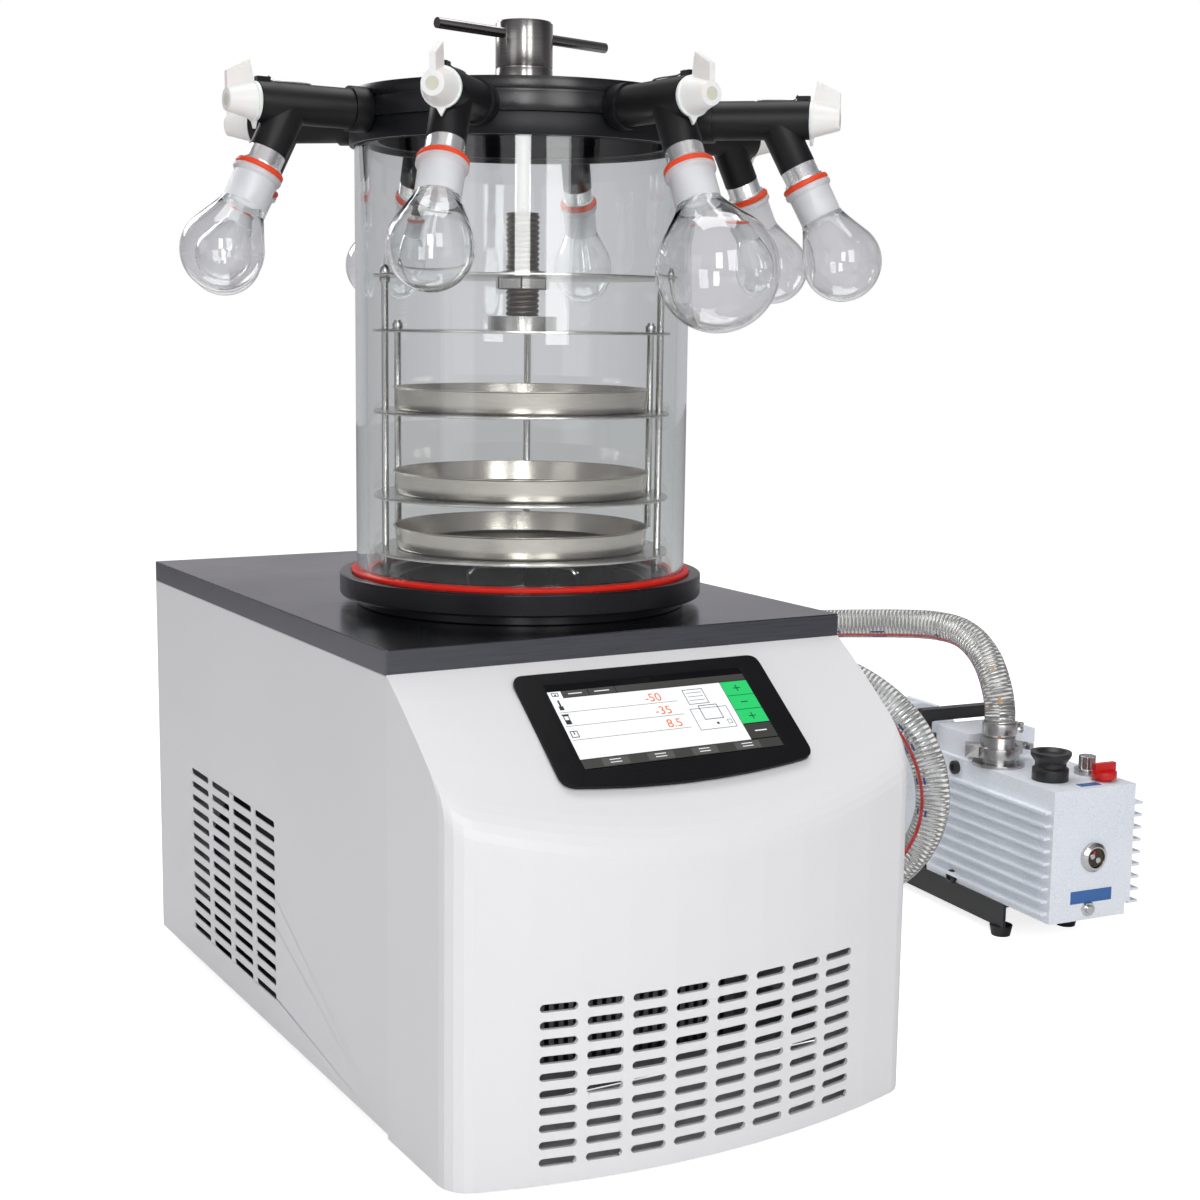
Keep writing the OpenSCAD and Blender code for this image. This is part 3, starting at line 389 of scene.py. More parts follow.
cover_steel, _ = fresh("brushed cover steel", (0.115, 0.118, 0.135), 0.22, 1.0)
worked(cover_steel, brushed, {"Stretch": (25.0, 1400.0, 1400.0), "Amount": 0.8},
       tint=(0.165, 0.17, 0.19), rough=0.30, bump=0.10, height=0.0001)
worked(cover_steel, grain, {"Scale": 60.0, "Patches": 7.0, "Amount": 0.5}, rough=0.16)
keep("top_cover", cover_steel, 0.0008, 60)

# ---------- Front panel ----------
# One moulding in white ABS: a bowed front with rounded upright corners that rolls over a
# crease into the sloping hood. Ten rows of slots let the condenser's air in.

front_plastic, _ = fresh("white moulded plastic", (0.80, 0.80, 0.805), 0.36)
worked(front_plastic, grain, {"Scale": 1100.0, "Patches": 3.0, "Amount": 0.5},
       tint=(0.78, 0.78, 0.785), rough=0.44, bump=0.1)
shade_evenly(keep("front_panel", front_plastic))

# ---------- Display ----------
# A black gloss bezel with a bowed lower edge lies on the hood and holds a touch screen. The
# lit picture lies just over the dark glass, as plain bars, keys, a line drawing and readings.

bezel_black, shader = fresh("black gloss bezel", (0.008, 0.008, 0.009), 0.25)
shader.inputs["Specular IOR Level"].default_value = 0.12
worked(bezel_black, grain, {"Scale": 1800.0, "Patches": 12.0, "Amount": 0.6}, rough=0.4,
       bump=0.05)
dark_glass, shader = fresh("dark screen glass", (0.004, 0.004, 0.005), 0.12)
shader.inputs["Specular IOR Level"].default_value = 0.2
worked(dark_glass, grain, {"Scale": 900.0}, tint=(0.006, 0.006, 0.007))
keep("touch_screen", dark_glass, 0.0002)

low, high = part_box("touch_screen")
hood_tilt = math.radians(37.85)
screen = (Matrix.Translation((low + high) / 2) @ Matrix.Rotation(hood_tilt, 4, "X")
          @ Matrix.Translation((0, 0, 0.0005)) @ Matrix.Scale(0.001, 4))

# The bezel in mm from the screen's middle: half its width and height, how far its lower edge
# bows down, its thickness and depth, and half the window that the screen lies in
wide, tall, bowed, thick, sunk = 102.5, 49.5, 8, 3, -2.8
window_wide, window_tall = 81.9, 37.9
mesh = bmesh.new()
bow = [(x, -tall - bowed * (1 - (x / wide) ** 2)) for x in range(-80, 81, 10)]
loops = [corners([(-wide, tall, 9), (-wide, -tall, 12), *bow, (wide, -tall, 12), (wide, tall, 9)],
                 0, 6),
         corners([(-window_wide, window_tall), (-window_wide, -window_tall),
                  (window_wide, -window_tall), (window_wide, window_tall)], 1.0, 3)]
edges = []
for loop in loops:
    ring = [mesh.verts.new((x, y, sunk)) for x, y in loop]
    edges += [mesh.edges.new((a, b)) for a, b in zip(ring, ring[1:] + ring[:1])]
back = [f for f in bmesh.ops.triangle_fill(mesh, use_beauty=True, edges=edges)["geom"]
        if isinstance(f, bmesh.types.BMFace)]
front = bmesh.ops.extrude_face_region(mesh, geom=back)["geom"]
bmesh.ops.translate(mesh, vec=(0, 0, thick),
                    verts=[v for v in front if isinstance(v, bmesh.types.BMVert)])
bmesh.ops.recalc_face_normals(mesh, faces=mesh.faces)
rims = [e for e in mesh.edges if min(v.co.z for v in e.verts) > 0
        and e.calc_face_angle(0) > math.radians(60)]
bmesh.ops.bevel(mesh, geom=rims, offset=0.8, segments=3, profile=0.5, affect="EDGES")
bmesh.ops.transform(mesh, matrix=screen, verts=mesh.verts)
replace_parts(piece("screen_frame", mesh, bezel_black, "cabinet"), "screen_bezel")


def lit(name, colour, blocks, layer, more=None):
    """One colour of the screen's picture: blocks (x0, y0, x1, y1) in mm from its middle."""
    glow, shader = fresh(name, [c * 0.1 for c in colour], 0.3)
    shader.inputs["Emission Color"].default_value = (*colour, 1)
    shader.inputs["Emission Strength"].default_value = 1.0
    worked(glow, grain, {"Scale": 4000.0, "Patches": 2500.0, "Amount": 0.5},
           glow=[c * 0.88 for c in colour])
    mesh = more or bmesh.new()
    for x0, y0, x1, y1 in blocks:
        slab(mesh, (x0, y0, layer * 0.06 - 0.03), (x1, y1, layer * 0.06), screen)
    return piece(f"screen_{name.replace(' ', '_')}", mesh, glow, "cabinet")


def outlined(x0, y0, x1, y1, wide):
    """The four thin blocks of a rectangle's outline."""
    return [(x0, y0, x1, y0 + wide), (x0, y1 - wide, x1, y1),
            (x0, y0, x0 + wide, y1), (x1 - wide, y0, x1, y1)]


lit("white field", (0.93, 0.95, 0.96), [(-81.5, -29, 58, 25.5), (-81.5, 25.5, -71, 32)], 1)
lit("grey bars", (0.045, 0.045, 0.042),
    [(-70.5, 26, -50, 32), (-49.5, 26, -28, 32), (-27.5, 26, 81.5, 32),
     (-81.5, -37.4, 81.5, -29.4), (58.5, -28.4, 81.5, -15)], 1)
lit("bar keys", (0.09, 0.09, 0.085),
    [(x, -36.6, x + 21, -30.2) for x in (-66, -30, 6, 42)], 2)
lit("green keys", (0.02, 0.62, 0.16), [(58.5, y, 81.5, y + 12.9) for y in (-14.2, -0.8, 12.6)], 1)
lit("black lines", (0.02, 0.02, 0.022),
    [(-80, y, 16, y + 0.35) for y in (12.6, 0.2, -12.2)]
    + outlined(22, -16, 53, 4, 0.45) + outlined(30, -7, 46, 6.5, 0.6)
    + outlined(24, 8, 41, 22, 0.5) + [(26, y, 39, y + 0.4) for y in (11.5, 15, 18.5)]
    + outlined(47.5, -12.5, 51, -8.5, 0.4) + [(38, -12, 40, -10)]
    + [(-78, 15, -74.5, 18.5), (-77, 18.5, -75.5, 24)]
    + outlined(-78.4, 2, -74, 10, 0.7) + [(-78, 2.3, -74.4, 6), (-79, 10, -73.4, 11.2)]
    + outlined(-79.2, -10, -73.2, -4, 0.7) + [(-76.6, -7.4, -75.8, -4.6)]
    + outlined(-79, 27.5, -73.6, 31, 0.6) + [(-77, 27.5, -75.6, 29.6)], 2)
lit("key marks", (0.88, 0.9, 0.9),
    [(x + 6, y, x + 15, y + 0.7) for x in (-66, -30, 6, 42) for y in (-32.2, -34.6)]
    + [(-66, 28.6, -55, 29.4), (-45, 28.6, -33, 29.4), (65, -22.2, 75, -21.2)], 3)
lit("key signs", (0.01, 0.12, 0.04),
    [(67, y + 6, 73, y + 7) for y in (-14.2, -0.8, 12.6)]
    + [(69.5, y + 3.5, 70.5, y + 9.5) for y in (-14.2, 12.6)], 2)
readings = bmesh.new()
for reading, x, y in (("-50", -9, 14.6), ("-35", -6, 2.2), ("8.5", -2, -10.2)):
    words = bpy.data.curves.new("reading", "FONT")
    words.body = reading
    words.size = 10.5
    words.extrude = 0.015
    holder = bpy.data.objects.new("reading", words)
    scene.collection.objects.link(holder)
    digits = bpy.data.meshes.new_from_object(
        holder.evaluated_get(bpy.context.evaluated_depsgraph_get()))
    digits.transform(screen @ Matrix.Translation((x, y, 0.12)))
    readings.from_mesh(digits)
    bpy.data.objects.remove(holder)
    bpy.data.curves.remove(words)
    bpy.data.meshes.remove(digits)
lit("orange readings", (0.85, 0.16, 0.01), [], 3, readings)

# ---------- Cold trap and refrigeration ----------
# A coated steel bowl in black foam with the evaporator coil bent inside it. Under it sit
# the hermetic compressor, the finned condenser with its shroud, and the fan.

trap_coat, shader = fresh("black trap coating", (0.012, 0.012, 0.014), 0.3)
shader.inputs["Specular IOR Level"].default_value = 0.1
worked(trap_coat, grain, {"Scale": 500.0, "Patches": 20.0}, tint=(0.025, 0.025, 0.028),
       rough=0.45, bump=0.15)
keep("cold_trap", trap_coat)
tube_steel, _ = fresh("cold tube steel", (0.5, 0.49, 0.47), 0.3, 1.0)
worked(tube_steel, grain, {"Scale": 400.0, "Patches": 60.0, "Amount": 0.8},
       tint=(0.35, 0.34, 0.33), rough=0.5, bump=0.1)
keep("evaporator_coil", tube_steel)
shell_black, _ = fresh("compressor enamel", (0.012, 0.012, 0.014), 0.3)
worked(shell_black, grain, {"Scale": 350.0, "Patches": 15.0}, tint=(0.035, 0.035, 0.04),
       rough=0.5, bump=0.15)
keep("compressor", shell_black)
fin_metal, _ = fresh("condenser fins", (0.42, 0.43, 0.44), 0.45, 1.0)
worked(fin_metal, brushed, {"Stretch": (900.0, 60.0, 60.0)}, tint=(0.3, 0.31, 0.32), bump=0.1)
keep("condenser", fin_metal)
keep("fan_blade", shell_black)
port_steel, _ = fresh("turned steel", (0.55, 0.545, 0.54), 0.26, 1.0)
worked(port_steel, brushed, {"Stretch": (300.0, 300.0, 1500.0)}, tint=(0.40, 0.395, 0.39),
       rough=0.36, bump=0.06)
keep("vacuum_port", port_steel, 0.0008)

# A bent wire bail stands in the trap, to lift out the strainer on its floor


def along(points, steps):
    """Points of the smooth curve through the given ones, that many steps between each two."""
    line = []
    for i in range(len(points) - 1):
        a, b, c, d = (points[max(0, min(len(points) - 1, i + k))] for k in (-1, 0, 1, 2))
        for s in range(steps):
            t = s / steps
            line.append(0.5 * (2 * b + (c - a) * t + (2 * a - 5 * b + 4 * c - d) * t * t
                               + (3 * b - a - 3 * c + d) * t ** 3))
    return line + [points[-1]]


def framed(line):
    """Each point of a line with its direction and two side directions that don't twist."""
    side = Vector((0, 0, 1)) if abs((line[1] - line[0]).normalized().z) < 0.9 else Vector((1, 0, 0))
    frames = []
    for i, point in enumerate(line):
        ahead = (line[min(i + 1, len(line) - 1)] - line[max(i - 1, 0)]).normalized()
        side = (side - ahead * side.dot(ahead)).normalized()
        frames.append((point, ahead, side, ahead.cross(side)))
    return frames


def tube(mesh, frames, radius, sides):
    """Adds a tube to a bmesh along framed points, with flat ends."""
    rings = [[mesh.verts.new(p + (u * math.cos(math.tau * k / sides)
                                  + v * math.sin(math.tau * k / sides)) * radius)
              for k in range(sides)] for p, _, u, v in frames]
    for low, high in zip(rings, rings[1:]):
        for k in range(sides):
            q = (k + 1) % sides
            mesh.faces.new((low[k], low[q], high[q], high[k]))
    mesh.faces.new(rings[0][::-1])
    mesh.faces.new(rings[-1])


polished, _ = fresh("polished steel", (0.66, 0.655, 0.65), 0.14, 1.0)
worked(polished, grain, {"Scale": 500.0, "Patches": 30.0, "Amount": 0.6},
       tint=(0.55, 0.545, 0.54), rough=0.24)
trap_floor = 0.140
middle = Vector((0.008, 0.016, 0))
across = Vector((math.cos(yaw), -math.sin(yaw), 0))
bail = [middle + across * x + Vector((0, 0, z))
        for x, z in ((-0.044, trap_floor + 0.0018), (-0.044, 0.25), (-0.043, 0.366),
                     (-0.040, 0.3765), (-0.032, 0.381), (0.002, 0.3825), (0.036, 0.381),
                     (0.044, 0.3765), (0.047, 0.366), (0.048, 0.25),
                     (0.048, trap_floor + 0.0018))]
mesh = bmesh.new()
tube(mesh, framed(along(bail, 8)), 0.0017, 10)
turn(mesh, corners([(0.075, trap_floor + 0.0002), (0.082, trap_floor + 0.0002),
                    (0.082, trap_floor + 0.003), (0.075, trap_floor + 0.003)], 0.0006), 64)
for spoke in (-1, 1):
    slab(mesh, (spoke * 0.04, -0.003, trap_floor + 0.0002),
         (spoke * 0.077, 0.003, trap_floor + 0.002),
         Matrix.Translation(middle * 0.5) @ Matrix.Rotation(-yaw, 4, "Z"))
piece("strainer_bail", mesh, polished, "cabinet")

# ---------- Chamber ----------
# A cast acrylic cylinder stands on a red silicone gasket in a black anodised ring, and a
# moulded black seal caps its upper edge. The thick wall is faintly green.

ring_black, shader = fresh("black ring", (0.004, 0.0045, 0.006), 0.24)
shader.inputs["Specular IOR Level"].default_value = 0.3
worked(ring_black, grain, {"Scale": 900.0, "Patches": 14.0, "Amount": 0.7},
       tint=(0.008, 0.009, 0.011), rough=0.34, bump=0.06)
z0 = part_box("base_ring")[0].z
mesh = bmesh.new()
turn(mesh, corners([(0.097, z0), (0.130, z0, 0.0012), (0.130, z0 + 0.008), (0.1425, z0 + 0.008),
                    (0.1434, z0 + 0.0095, 0.0004), (0.1434, z0 + 0.025, 0.0014),
                    (0.1352, z0 + 0.025, 0.0004), (0.1352, z0 + 0.0245), (0.118, z0 + 0.0245),
                    (0.118, z0 + 0.025), (0.104, z0 + 0.025, 0.001), (0.101, z0 + 0.020, 0.002),
                    (0.097, z0 + 0.020, 0.002)]), 176)
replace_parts(piece("chamber_ring", mesh, ring_black, "cabinet"), "base_ring")

silicone, shader = fresh("red silicone", (0.72, 0.015, 0.008), 0.42)
shader.inputs["Specular IOR Level"].default_value = 0.2
shader.inputs["Subsurface Weight"].default_value = 0.1
shader.inputs["Subsurface Scale"].default_value = 0.004
worked(silicone, grain, {"Scale": 800.0, "Patches": 30.0}, tint=(0.82, 0.035, 0.015), bump=0.15)
z0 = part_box("base_gasket")[0].z
mesh = bmesh.new()
turn(mesh, corners([(0.1185, z0), (0.1343, z0, 0.0008), (0.1343, z0 + 0.0031, 0.0012),
                    (0.1303, z0 + 0.0037, 0.0002), (0.1303, z0 + 0.0035),
                    (0.1185, z0 + 0.0035, 0.0006)]), 176)
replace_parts(piece("red_gasket", mesh, silicone, "cabinet"), "base_gasket")

acrylic, shader = fresh("clear acrylic", (0.985, 0.99, 0.99), 0.006)
shader.inputs["Transmission Weight"].default_value = 1.0
shader.inputs["IOR"].default_value = 1.49
worked(acrylic, grain, {"Scale": 40.0, "Patches": 5.0, "Amount": 0.6}, tint=(0.97, 0.985, 0.98))
depth = acrylic.node_tree.nodes.new("ShaderNodeVolumeAbsorption")
depth.inputs["Color"].default_value = (0.09, 0.54, 0.36, 1)
depth.inputs["Density"].default_value = 3.8
acrylic.node_tree.links.new(depth.outputs[0],
                            acrylic.node_tree.nodes["Material Output"].inputs["Volume"])
low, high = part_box("chamber_cylinder")
mesh = bmesh.new()
turn(mesh, corners([(0.121, low.z), (0.130, low.z), (0.130, high.z), (0.121, high.z)], 0.0006), 192)
chamber = piece("clear_chamber", mesh, acrylic, "cabinet", 15)
chamber.visible_shadow = False
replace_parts(chamber, "chamber_cylinder")

seal_black, shader = fresh("black seal rubber", (0.004, 0.0045, 0.006), 0.36)
shader.inputs["Specular IOR Level"].default_value = 0.3
worked(seal_black, grain, {"Scale": 900.0}, tint=(0.008, 0.009, 0.011), rough=0.46, bump=0.2)
keep("lid_seal", seal_black, 0.0006)
liner_black, shader = fresh("black liner rubber", (0.006, 0.006, 0.008), 0.9)
shader.inputs["Specular IOR Level"].default_value = 0.0
worked(liner_black, grain, {"Scale": 900.0}, tint=(0.010, 0.010, 0.012), bump=0.2)
low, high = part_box("lid_seal")
mesh = bmesh.new()
turn(mesh, corners([(0.0056, high.z - 0.0032), (0.1116, high.z - 0.0032, 0.0008),
                    (0.1116, high.z - 0.0002), (0.0056, high.z - 0.0002)]), 96)
turn(mesh, corners([(0.1100, low.z + 0.0035, 0.0006), (0.1118, low.z + 0.0035, 0.0004),
                    (0.1118, high.z - 0.0002), (0.1100, high.z - 0.0002)]), 128)
piece("seal_liner", mesh, liner_black, "cabinet")

# ---------- Manifold lid and spindle ----------
# A thick black anodised disc, satin on its edge with one narrow groove. The steel spindle
# runs through its middle and is turned by a polished T bar with rounded ends.

lid_black, shader = fresh("black anodised lid", (0.003, 0.0035, 0.005), 0.22)
shader.inputs["Specular IOR Level"].default_value = 0.5
worked(lid_black, grain, {"Scale": 700.0, "Patches": 26.0, "Amount": 0.8},
       tint=(0.009, 0.009, 0.011), rough=0.36, bump=0.12)
keep("manifold_lid", lid_black, 0.0007)
hub_steel, _ = fresh("brushed hub steel", (0.33, 0.32, 0.31), 0.16, 1.0)
worked(hub_steel, brushed, {"Stretch": (60.0, 60.0, 2200.0), "Amount": 0.8},
       tint=(0.20, 0.195, 0.19), rough=0.24, bump=0.06)
keep("spindle_handle", hub_steel, 0.0012)

# ---------- Stoppering rack ----------
# Steel plates on three fixed rods. The screw pushes the press plate down, and the two
# upper shelves follow it on the hanger rods, to seat the stoppers of vials.

rack_steel, _ = fresh("polished rack steel", (0.56, 0.55, 0.535), 0.22, 1.0)
worked(rack_steel, brushed, {"Stretch": (40.0, 900.0, 900.0)}, tint=(0.44, 0.435, 0.42),
       rough=0.32, bump=0.06)
for node in ("press_plate", "nut_plate", "shelf_upper", "shelf_middle", "shelf_lower",
             "rack_rods"):
    keep(node, rack_steel, 0.0004, 60)
nut_black, _ = fresh("blackened nut", (0.03, 0.028, 0.026), 0.4, 1.0)
worked(nut_black, grain, {"Scale": 900.0, "Patches": 80.0}, tint=(0.09, 0.08, 0.07), rough=0.5,
       bump=0.1)
nut_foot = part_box("nut_plate")[1].z - 0.014
mesh = bmesh.new()
turn(mesh, corners([(0.0135, nut_foot - 0.0003), (0.0214, nut_foot - 0.0003, 0.0012),
                    (0.0214, nut_foot + 0.0079), (0.0135, nut_foot + 0.0079)]), 6)
piece("screw_nut", mesh, nut_black, "cabinet", 20)

# The press screw's thread is a real helix of 4 mm lead, cut into the turned bar
screw_steel, _ = fresh("oiled screw steel", (0.20, 0.17, 0.13), 0.34, 1.0)
worked(screw_steel, grain, {"Scale": 900.0, "Patches": 60.0}, tint=(0.10, 0.09, 0.08), rough=0.48,
       bump=0.1)
low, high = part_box("press_screw")
lead, first = 0.004, low.z + 0.0085
levels = [first + k * lead / 10 for k in range(int((high.z - 0.0005 - first) * 10 / lead) + 1)]
steps, crest, cut_depth = 60, 0.0130, 0.0014
mesh = bmesh.new()
rings = []
for z in levels:
    rings.append([])
    for k in range(steps):
        a = math.tau * k / steps
        from_root = abs((((z - first) / lead - a / math.tau) % 1) * 2 - 1)
        r = crest - cut_depth * max(0.0, 1 - from_root * 1.5)
        rings[-1].append(mesh.verts.new((math.cos(a) * r, math.sin(a) * r, z)))
for a, b in zip(rings, rings[1:]):
    for k in range(steps):
        q = (k + 1) % steps
        mesh.faces.new((a[k], a[q], b[q], b[k]))
pin_end, shaft_bore_end = low.z + 0.008, 0.6002
for ring, outline in ((rings[0], [(0.0060, pin_end), (0.0060, low.z), (0, low.z)]),
                      (rings[-1], [(0.0052, high.z), (0.0052, shaft_bore_end),
                                   (0, shaft_bore_end)])):
    for radius, height in outline:
        nxt = [mesh.verts.new((0, 0, height))] if not radius else [
            mesh.verts.new((math.cos(math.tau * k / steps) * radius,
                            math.sin(math.tau * k / steps) * radius, height))
            for k in range(steps)]
        for k in range(steps):
            q = (k + 1) % steps
            mesh.faces.new(dict.fromkeys((ring[k], ring[q], nxt[q % len(nxt)],
                                          nxt[k % len(nxt)])))
        ring = nxt
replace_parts(piece("threaded_screw", mesh, screw_steel, "screw", 25), "press_screw")

# Spun trays: a flat floor, a wall that leans out a little and a thin beaded rim
tray_steel, _ = fresh("spun tray steel", (0.60, 0.56, 0.51), 0.19, 1.0)
worked(tray_steel, brushed, {"Stretch": (60.0, 60.0, 1500.0)}, tint=(0.47, 0.44, 0.40),
       rough=0.26, bump=0.03)
worked(tray_steel, grain, {"Scale": 300.0, "Patches": 30.0, "Amount": 0.5},
       tint=(0.50, 0.47, 0.43), rough=0.24)
dish = corners([(0, 0), (0.0985, 0, 0.0026), (0.1002, 0.0168, 0.0006), (0.1012, 0.0172, 0.0004),
                (0.1013, 0.0180, 0.0004), (0.0998, 0.0180, 0.0004), (0.0975, 0.0010, 0.0020),
                (0, 0.0010)])
for level, body in (("upper", "upper_shelf"), ("middle", "middle_shelf"), ("lower", "cabinet")):
    mesh = bmesh.new()
    turn(mesh, dish, 160, Matrix.Translation((0, 0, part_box(f"tray_{level}")[0].z)))
    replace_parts(piece(f"{level}_dish", mesh, tray_steel, body), f"tray_{level}")

# ---------- Valves and flasks ----------
# Eight moulded rubber valves on the lid's stubs, each with a plastic knob, an aluminium
# adapter with a red ring, and a pear flask of clear glass hanging by its ground neck.

valve_rubber, shader = fresh("black valve rubber", (0.004, 0.004, 0.005), 0.42)
shader.inputs["Specular IOR Level"].default_value = 0.3
worked(valve_rubber, grain, {"Scale": 700.0, "Patches": 40.0}, tint=(0.009, 0.009, 0.010),
       rough=0.56, bump=0.25)
keep("valve_bodies", valve_rubber, 0.0015)
knob_white, shader = fresh("milky nylon", (0.86, 0.86, 0.84), 0.34)
shader.inputs["Subsurface Weight"].default_value = 0.3
shader.inputs["Subsurface Scale"].default_value = 0.006
worked(knob_white, grain, {"Scale": 700.0, "Patches": 50.0}, tint=(0.83, 0.83, 0.79), bump=0.1)
adapter_metal, _ = fresh("turned aluminium", (0.96, 0.965, 0.97), 0.22, 0.8)
worked(adapter_metal, brushed, {"Stretch": (200.0, 200.0, 1800.0)}, tint=(0.88, 0.885, 0.89),
       rough=0.30, bump=0.02)
keep("flask_adapters", adapter_metal, 0.0005)
ring_silicone, shader = fresh("orange-red silicone", (0.80, 0.06, 0.015), 0.4)
shader.inputs["Specular IOR Level"].default_value = 0.25
worked(ring_silicone, grain, {"Scale": 800.0, "Patches": 60.0}, tint=(0.88, 0.12, 0.04), bump=0.15)
hub_core, _ = fresh("yellowed nylon core", (0.62, 0.62, 0.50), 0.5)
worked(hub_core, grain, {"Scale": 900.0, "Patches": 120.0}, tint=(0.68, 0.675, 0.58), bump=0.1)
clip_wire, _ = fresh("clip wire", (0.45, 0.45, 0.45), 0.3, 1.0)
worked(clip_wire, grain, {"Scale": 900.0, "Patches": 90.0}, tint=(0.3, 0.3, 0.3))

flask_glass, shader = fresh("clear flask glass", (0.985, 0.99, 0.99), 0.004)
shader.inputs["Transmission Weight"].default_value = 1.0
shader.inputs["IOR"].default_value = 1.47
worked(flask_glass, grain, {"Scale": 60.0, "Patches": 12.0}, tint=(0.97, 0.98, 0.985))
depth = flask_glass.node_tree.nodes.new("ShaderNodeVolumeAbsorption")
depth.inputs["Color"].default_value = (0.25, 0.62, 0.5, 1)
depth.inputs["Density"].default_value = 3.0
flask_glass.node_tree.links.new(depth.outputs[0],
                                flask_glass.node_tree.nodes["Material Output"].inputs["Volume"])
ground_glass, shader = fresh("ground neck glass", (0.80, 0.81, 0.83), 0.45)
shader.inputs["Transmission Weight"].default_value = 0.45
shader.inputs["IOR"].default_value = 1.35
worked(ground_glass, grain, {"Scale": 2200.0, "Patches": 60.0}, tint=(0.72, 0.73, 0.75), bump=0.2)


def pear_side(ball, drop, neck, low):
    """Radius and distance down the branch of a pear's outer face, from its neck's lower end:
    a hollow curve, a cone and a ball."""
    bend = (neck, low + 0.003)
    lean = (math.atan2(drop - bend[1], neck)
            - math.acos(ball / math.hypot(neck, drop - bend[1])))
    touch = (ball * math.cos(lean), drop - ball * math.sin(lean))
    onward = tuple(p + (q - p) * 0.4 for p, q in zip(bend, touch))
    side = [tuple(p * (1 - t) ** 2 + q * 2 * t * (1 - t) + r * t * t
                  for p, q, r in zip((neck, low), bend, onward)) for t in (0, 0.25, 0.5, 0.75, 1)]
    arc = [lean - (lean + math.pi / 2) * k / 28 for k in range(29)]
    return side + [(max(0.0, ball * math.cos(a)), drop - ball * math.sin(a)) for a in arc]


def inside(side, wall):
    """The same curve, laid a wall's thickness inside it."""
    laid = []
    for i, (radius, down) in enumerate(side):
        (r0, u0), (r1, u1) = side[max(0, i - 1)], side[min(len(side) - 1, i + 1)]
        long = math.hypot(r1 - r0, u1 - u0)
        laid.append((max(0.0, radius - wall * (u1 - u0) / long), down + wall * (r1 - r0) / long))
    return laid


lip, low_neck = 0.0552, 0.0790
seals = bmesh.new()
for i in range(8):
    at_port = (Matrix.Rotation(math.radians(-41.7 + 45 * i), 4, "Z")
               @ Matrix.Translation((0, 0, 0.730)))
    down = (at_port @ Matrix.Translation((0.195, 0, 0)) @ Matrix.Rotation(math.radians(-27), 4, "Y")
            @ Matrix.Rotation(math.pi, 4, "X"))
    keep(f"valve_knob_{i + 1}", knob_white, 0.0012)
    mesh = bmesh.new()
    turn(mesh, corners([(0, 0.2416), (0.0046, 0.2416), (0.0046, 0.2438, 0.0006), (0, 0.2438)]), 24,
         at_port @ Matrix.Rotation(math.pi / 2, 4, "Y"))
    piece(f"knob_core_{i + 1}", mesh, hub_core, f"valve_{i + 1}")
    mesh = bmesh.new()
    wire = [(0.180, 0.0042, 0.0136), (0.182, 0.004, 0.0145), (0.190, 0.0035, 0.0149),
            (0.207, 0.0025, 0.0149), (0.2105, 0.0012, 0.0170), (0.2112, 0, 0.0181),
            (0.2105, -0.0012, 0.0170), (0.207, -0.0025, 0.0149), (0.190, -0.0035, 0.0149),
            (0.182, -0.004, 0.0145), (0.180, -0.0042, 0.0136)]
    tube(mesh, framed(along([at_port @ Vector(p) for p in wire], 4)), 0.0006, 6)
    piece(f"valve_clip_{i + 1}", mesh, clip_wire, "cabinet")

    turn(seals, corners([(0.0126, 0.0510), (0.0168, 0.0510, 0.0010), (0.0179, 0.0524, 0.0008),
                         (0.0179, 0.0543, 0.0006), (0.0170, lip, 0.0006), (0.0126, lip)]), 64, down)
    outer = pear_side(*((0.0422, 0.1303) if i == 7 else (0.0298, 0.1172)), 0.0158, low_neck)
    inner = inside(outer, 0.0013)[3:]
    inner[0] = (0.0135, low_neck + 0.0035)
    outline = [(0.0125, lip), (0.0172, lip), (0.0180, lip + 0.0008), (0.0180, lip + 0.0032),
               (0.0172, lip + 0.0042), (0.0160, lip + 0.0052), *outer, *inner[::-1],
               (0.0124, low_neck), (0.0124, lip + 0.001)]
    mesh = bmesh.new()
    for face in turn(mesh, outline, 72, down):
        if (down.inverted() @ face.calc_center_median()).z < low_neck + 0.0015:
            face.material_index = 1
    flask = piece(f"pear_flask_{i + 1}", mesh, [flask_glass, ground_glass], "cabinet")
    flask.visible_shadow = False
    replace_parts(flask, f"flask_{i + 1}")
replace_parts(piece("red_neck_seals", seals, ring_silicone, "cabinet"), "neck_rings")

# ---------- Vacuum pump ----------
# A cast aluminium oil case with cooling fins and a cowled motor, painted blue-grey, on a
# pressed steel base. The fittings stand on the case's top and front.

pump_paint, _ = fresh("blue-grey cast paint", (0.85, 0.89, 0.94), 0.42)
worked(pump_paint, grain, {"Scale": 420.0, "Patches": 650.0, "Amount": 0.9},
       tint=(0.70, 0.75, 0.81), rough=0.5, bump=0.4, height=0.0004)
worked(pump_paint, grain, {"Scale": 420.0, "Patches": 12.0, "Amount": 0.5}, tint=(0.88, 0.92, 0.96))
keep("pump_case", pump_paint, 0.0012)
keep("pump_motor", pump_paint, 0.0012)
base_black, _ = fresh("black base paint", (0.010, 0.010, 0.011), 0.32)
worked(base_black, grain, {"Scale": 500.0, "Patches": 20.0}, tint=(0.025, 0.025, 0.025),
       rough=0.48, bump=0.15)
keep("pump_base", base_black, 0.0006)
keep("pump_handle", base_black, 0.002)
keep("inlet_fitting", port_steel, 0.0005)
cap_black, _ = fresh("black cap plastic", (0.012, 0.012, 0.013), 0.38)
worked(cap_black, grain, {"Scale": 900.0}, tint=(0.025, 0.025, 0.027), bump=0.15)
keep("exhaust_cap", cap_black, 0.001)
cap_red, _ = fresh("red cap plastic", (0.62, 0.012, 0.01), 0.32)
worked(cap_red, grain, {"Scale": 900.0}, tint=(0.5, 0.01, 0.008), bump=0.1)
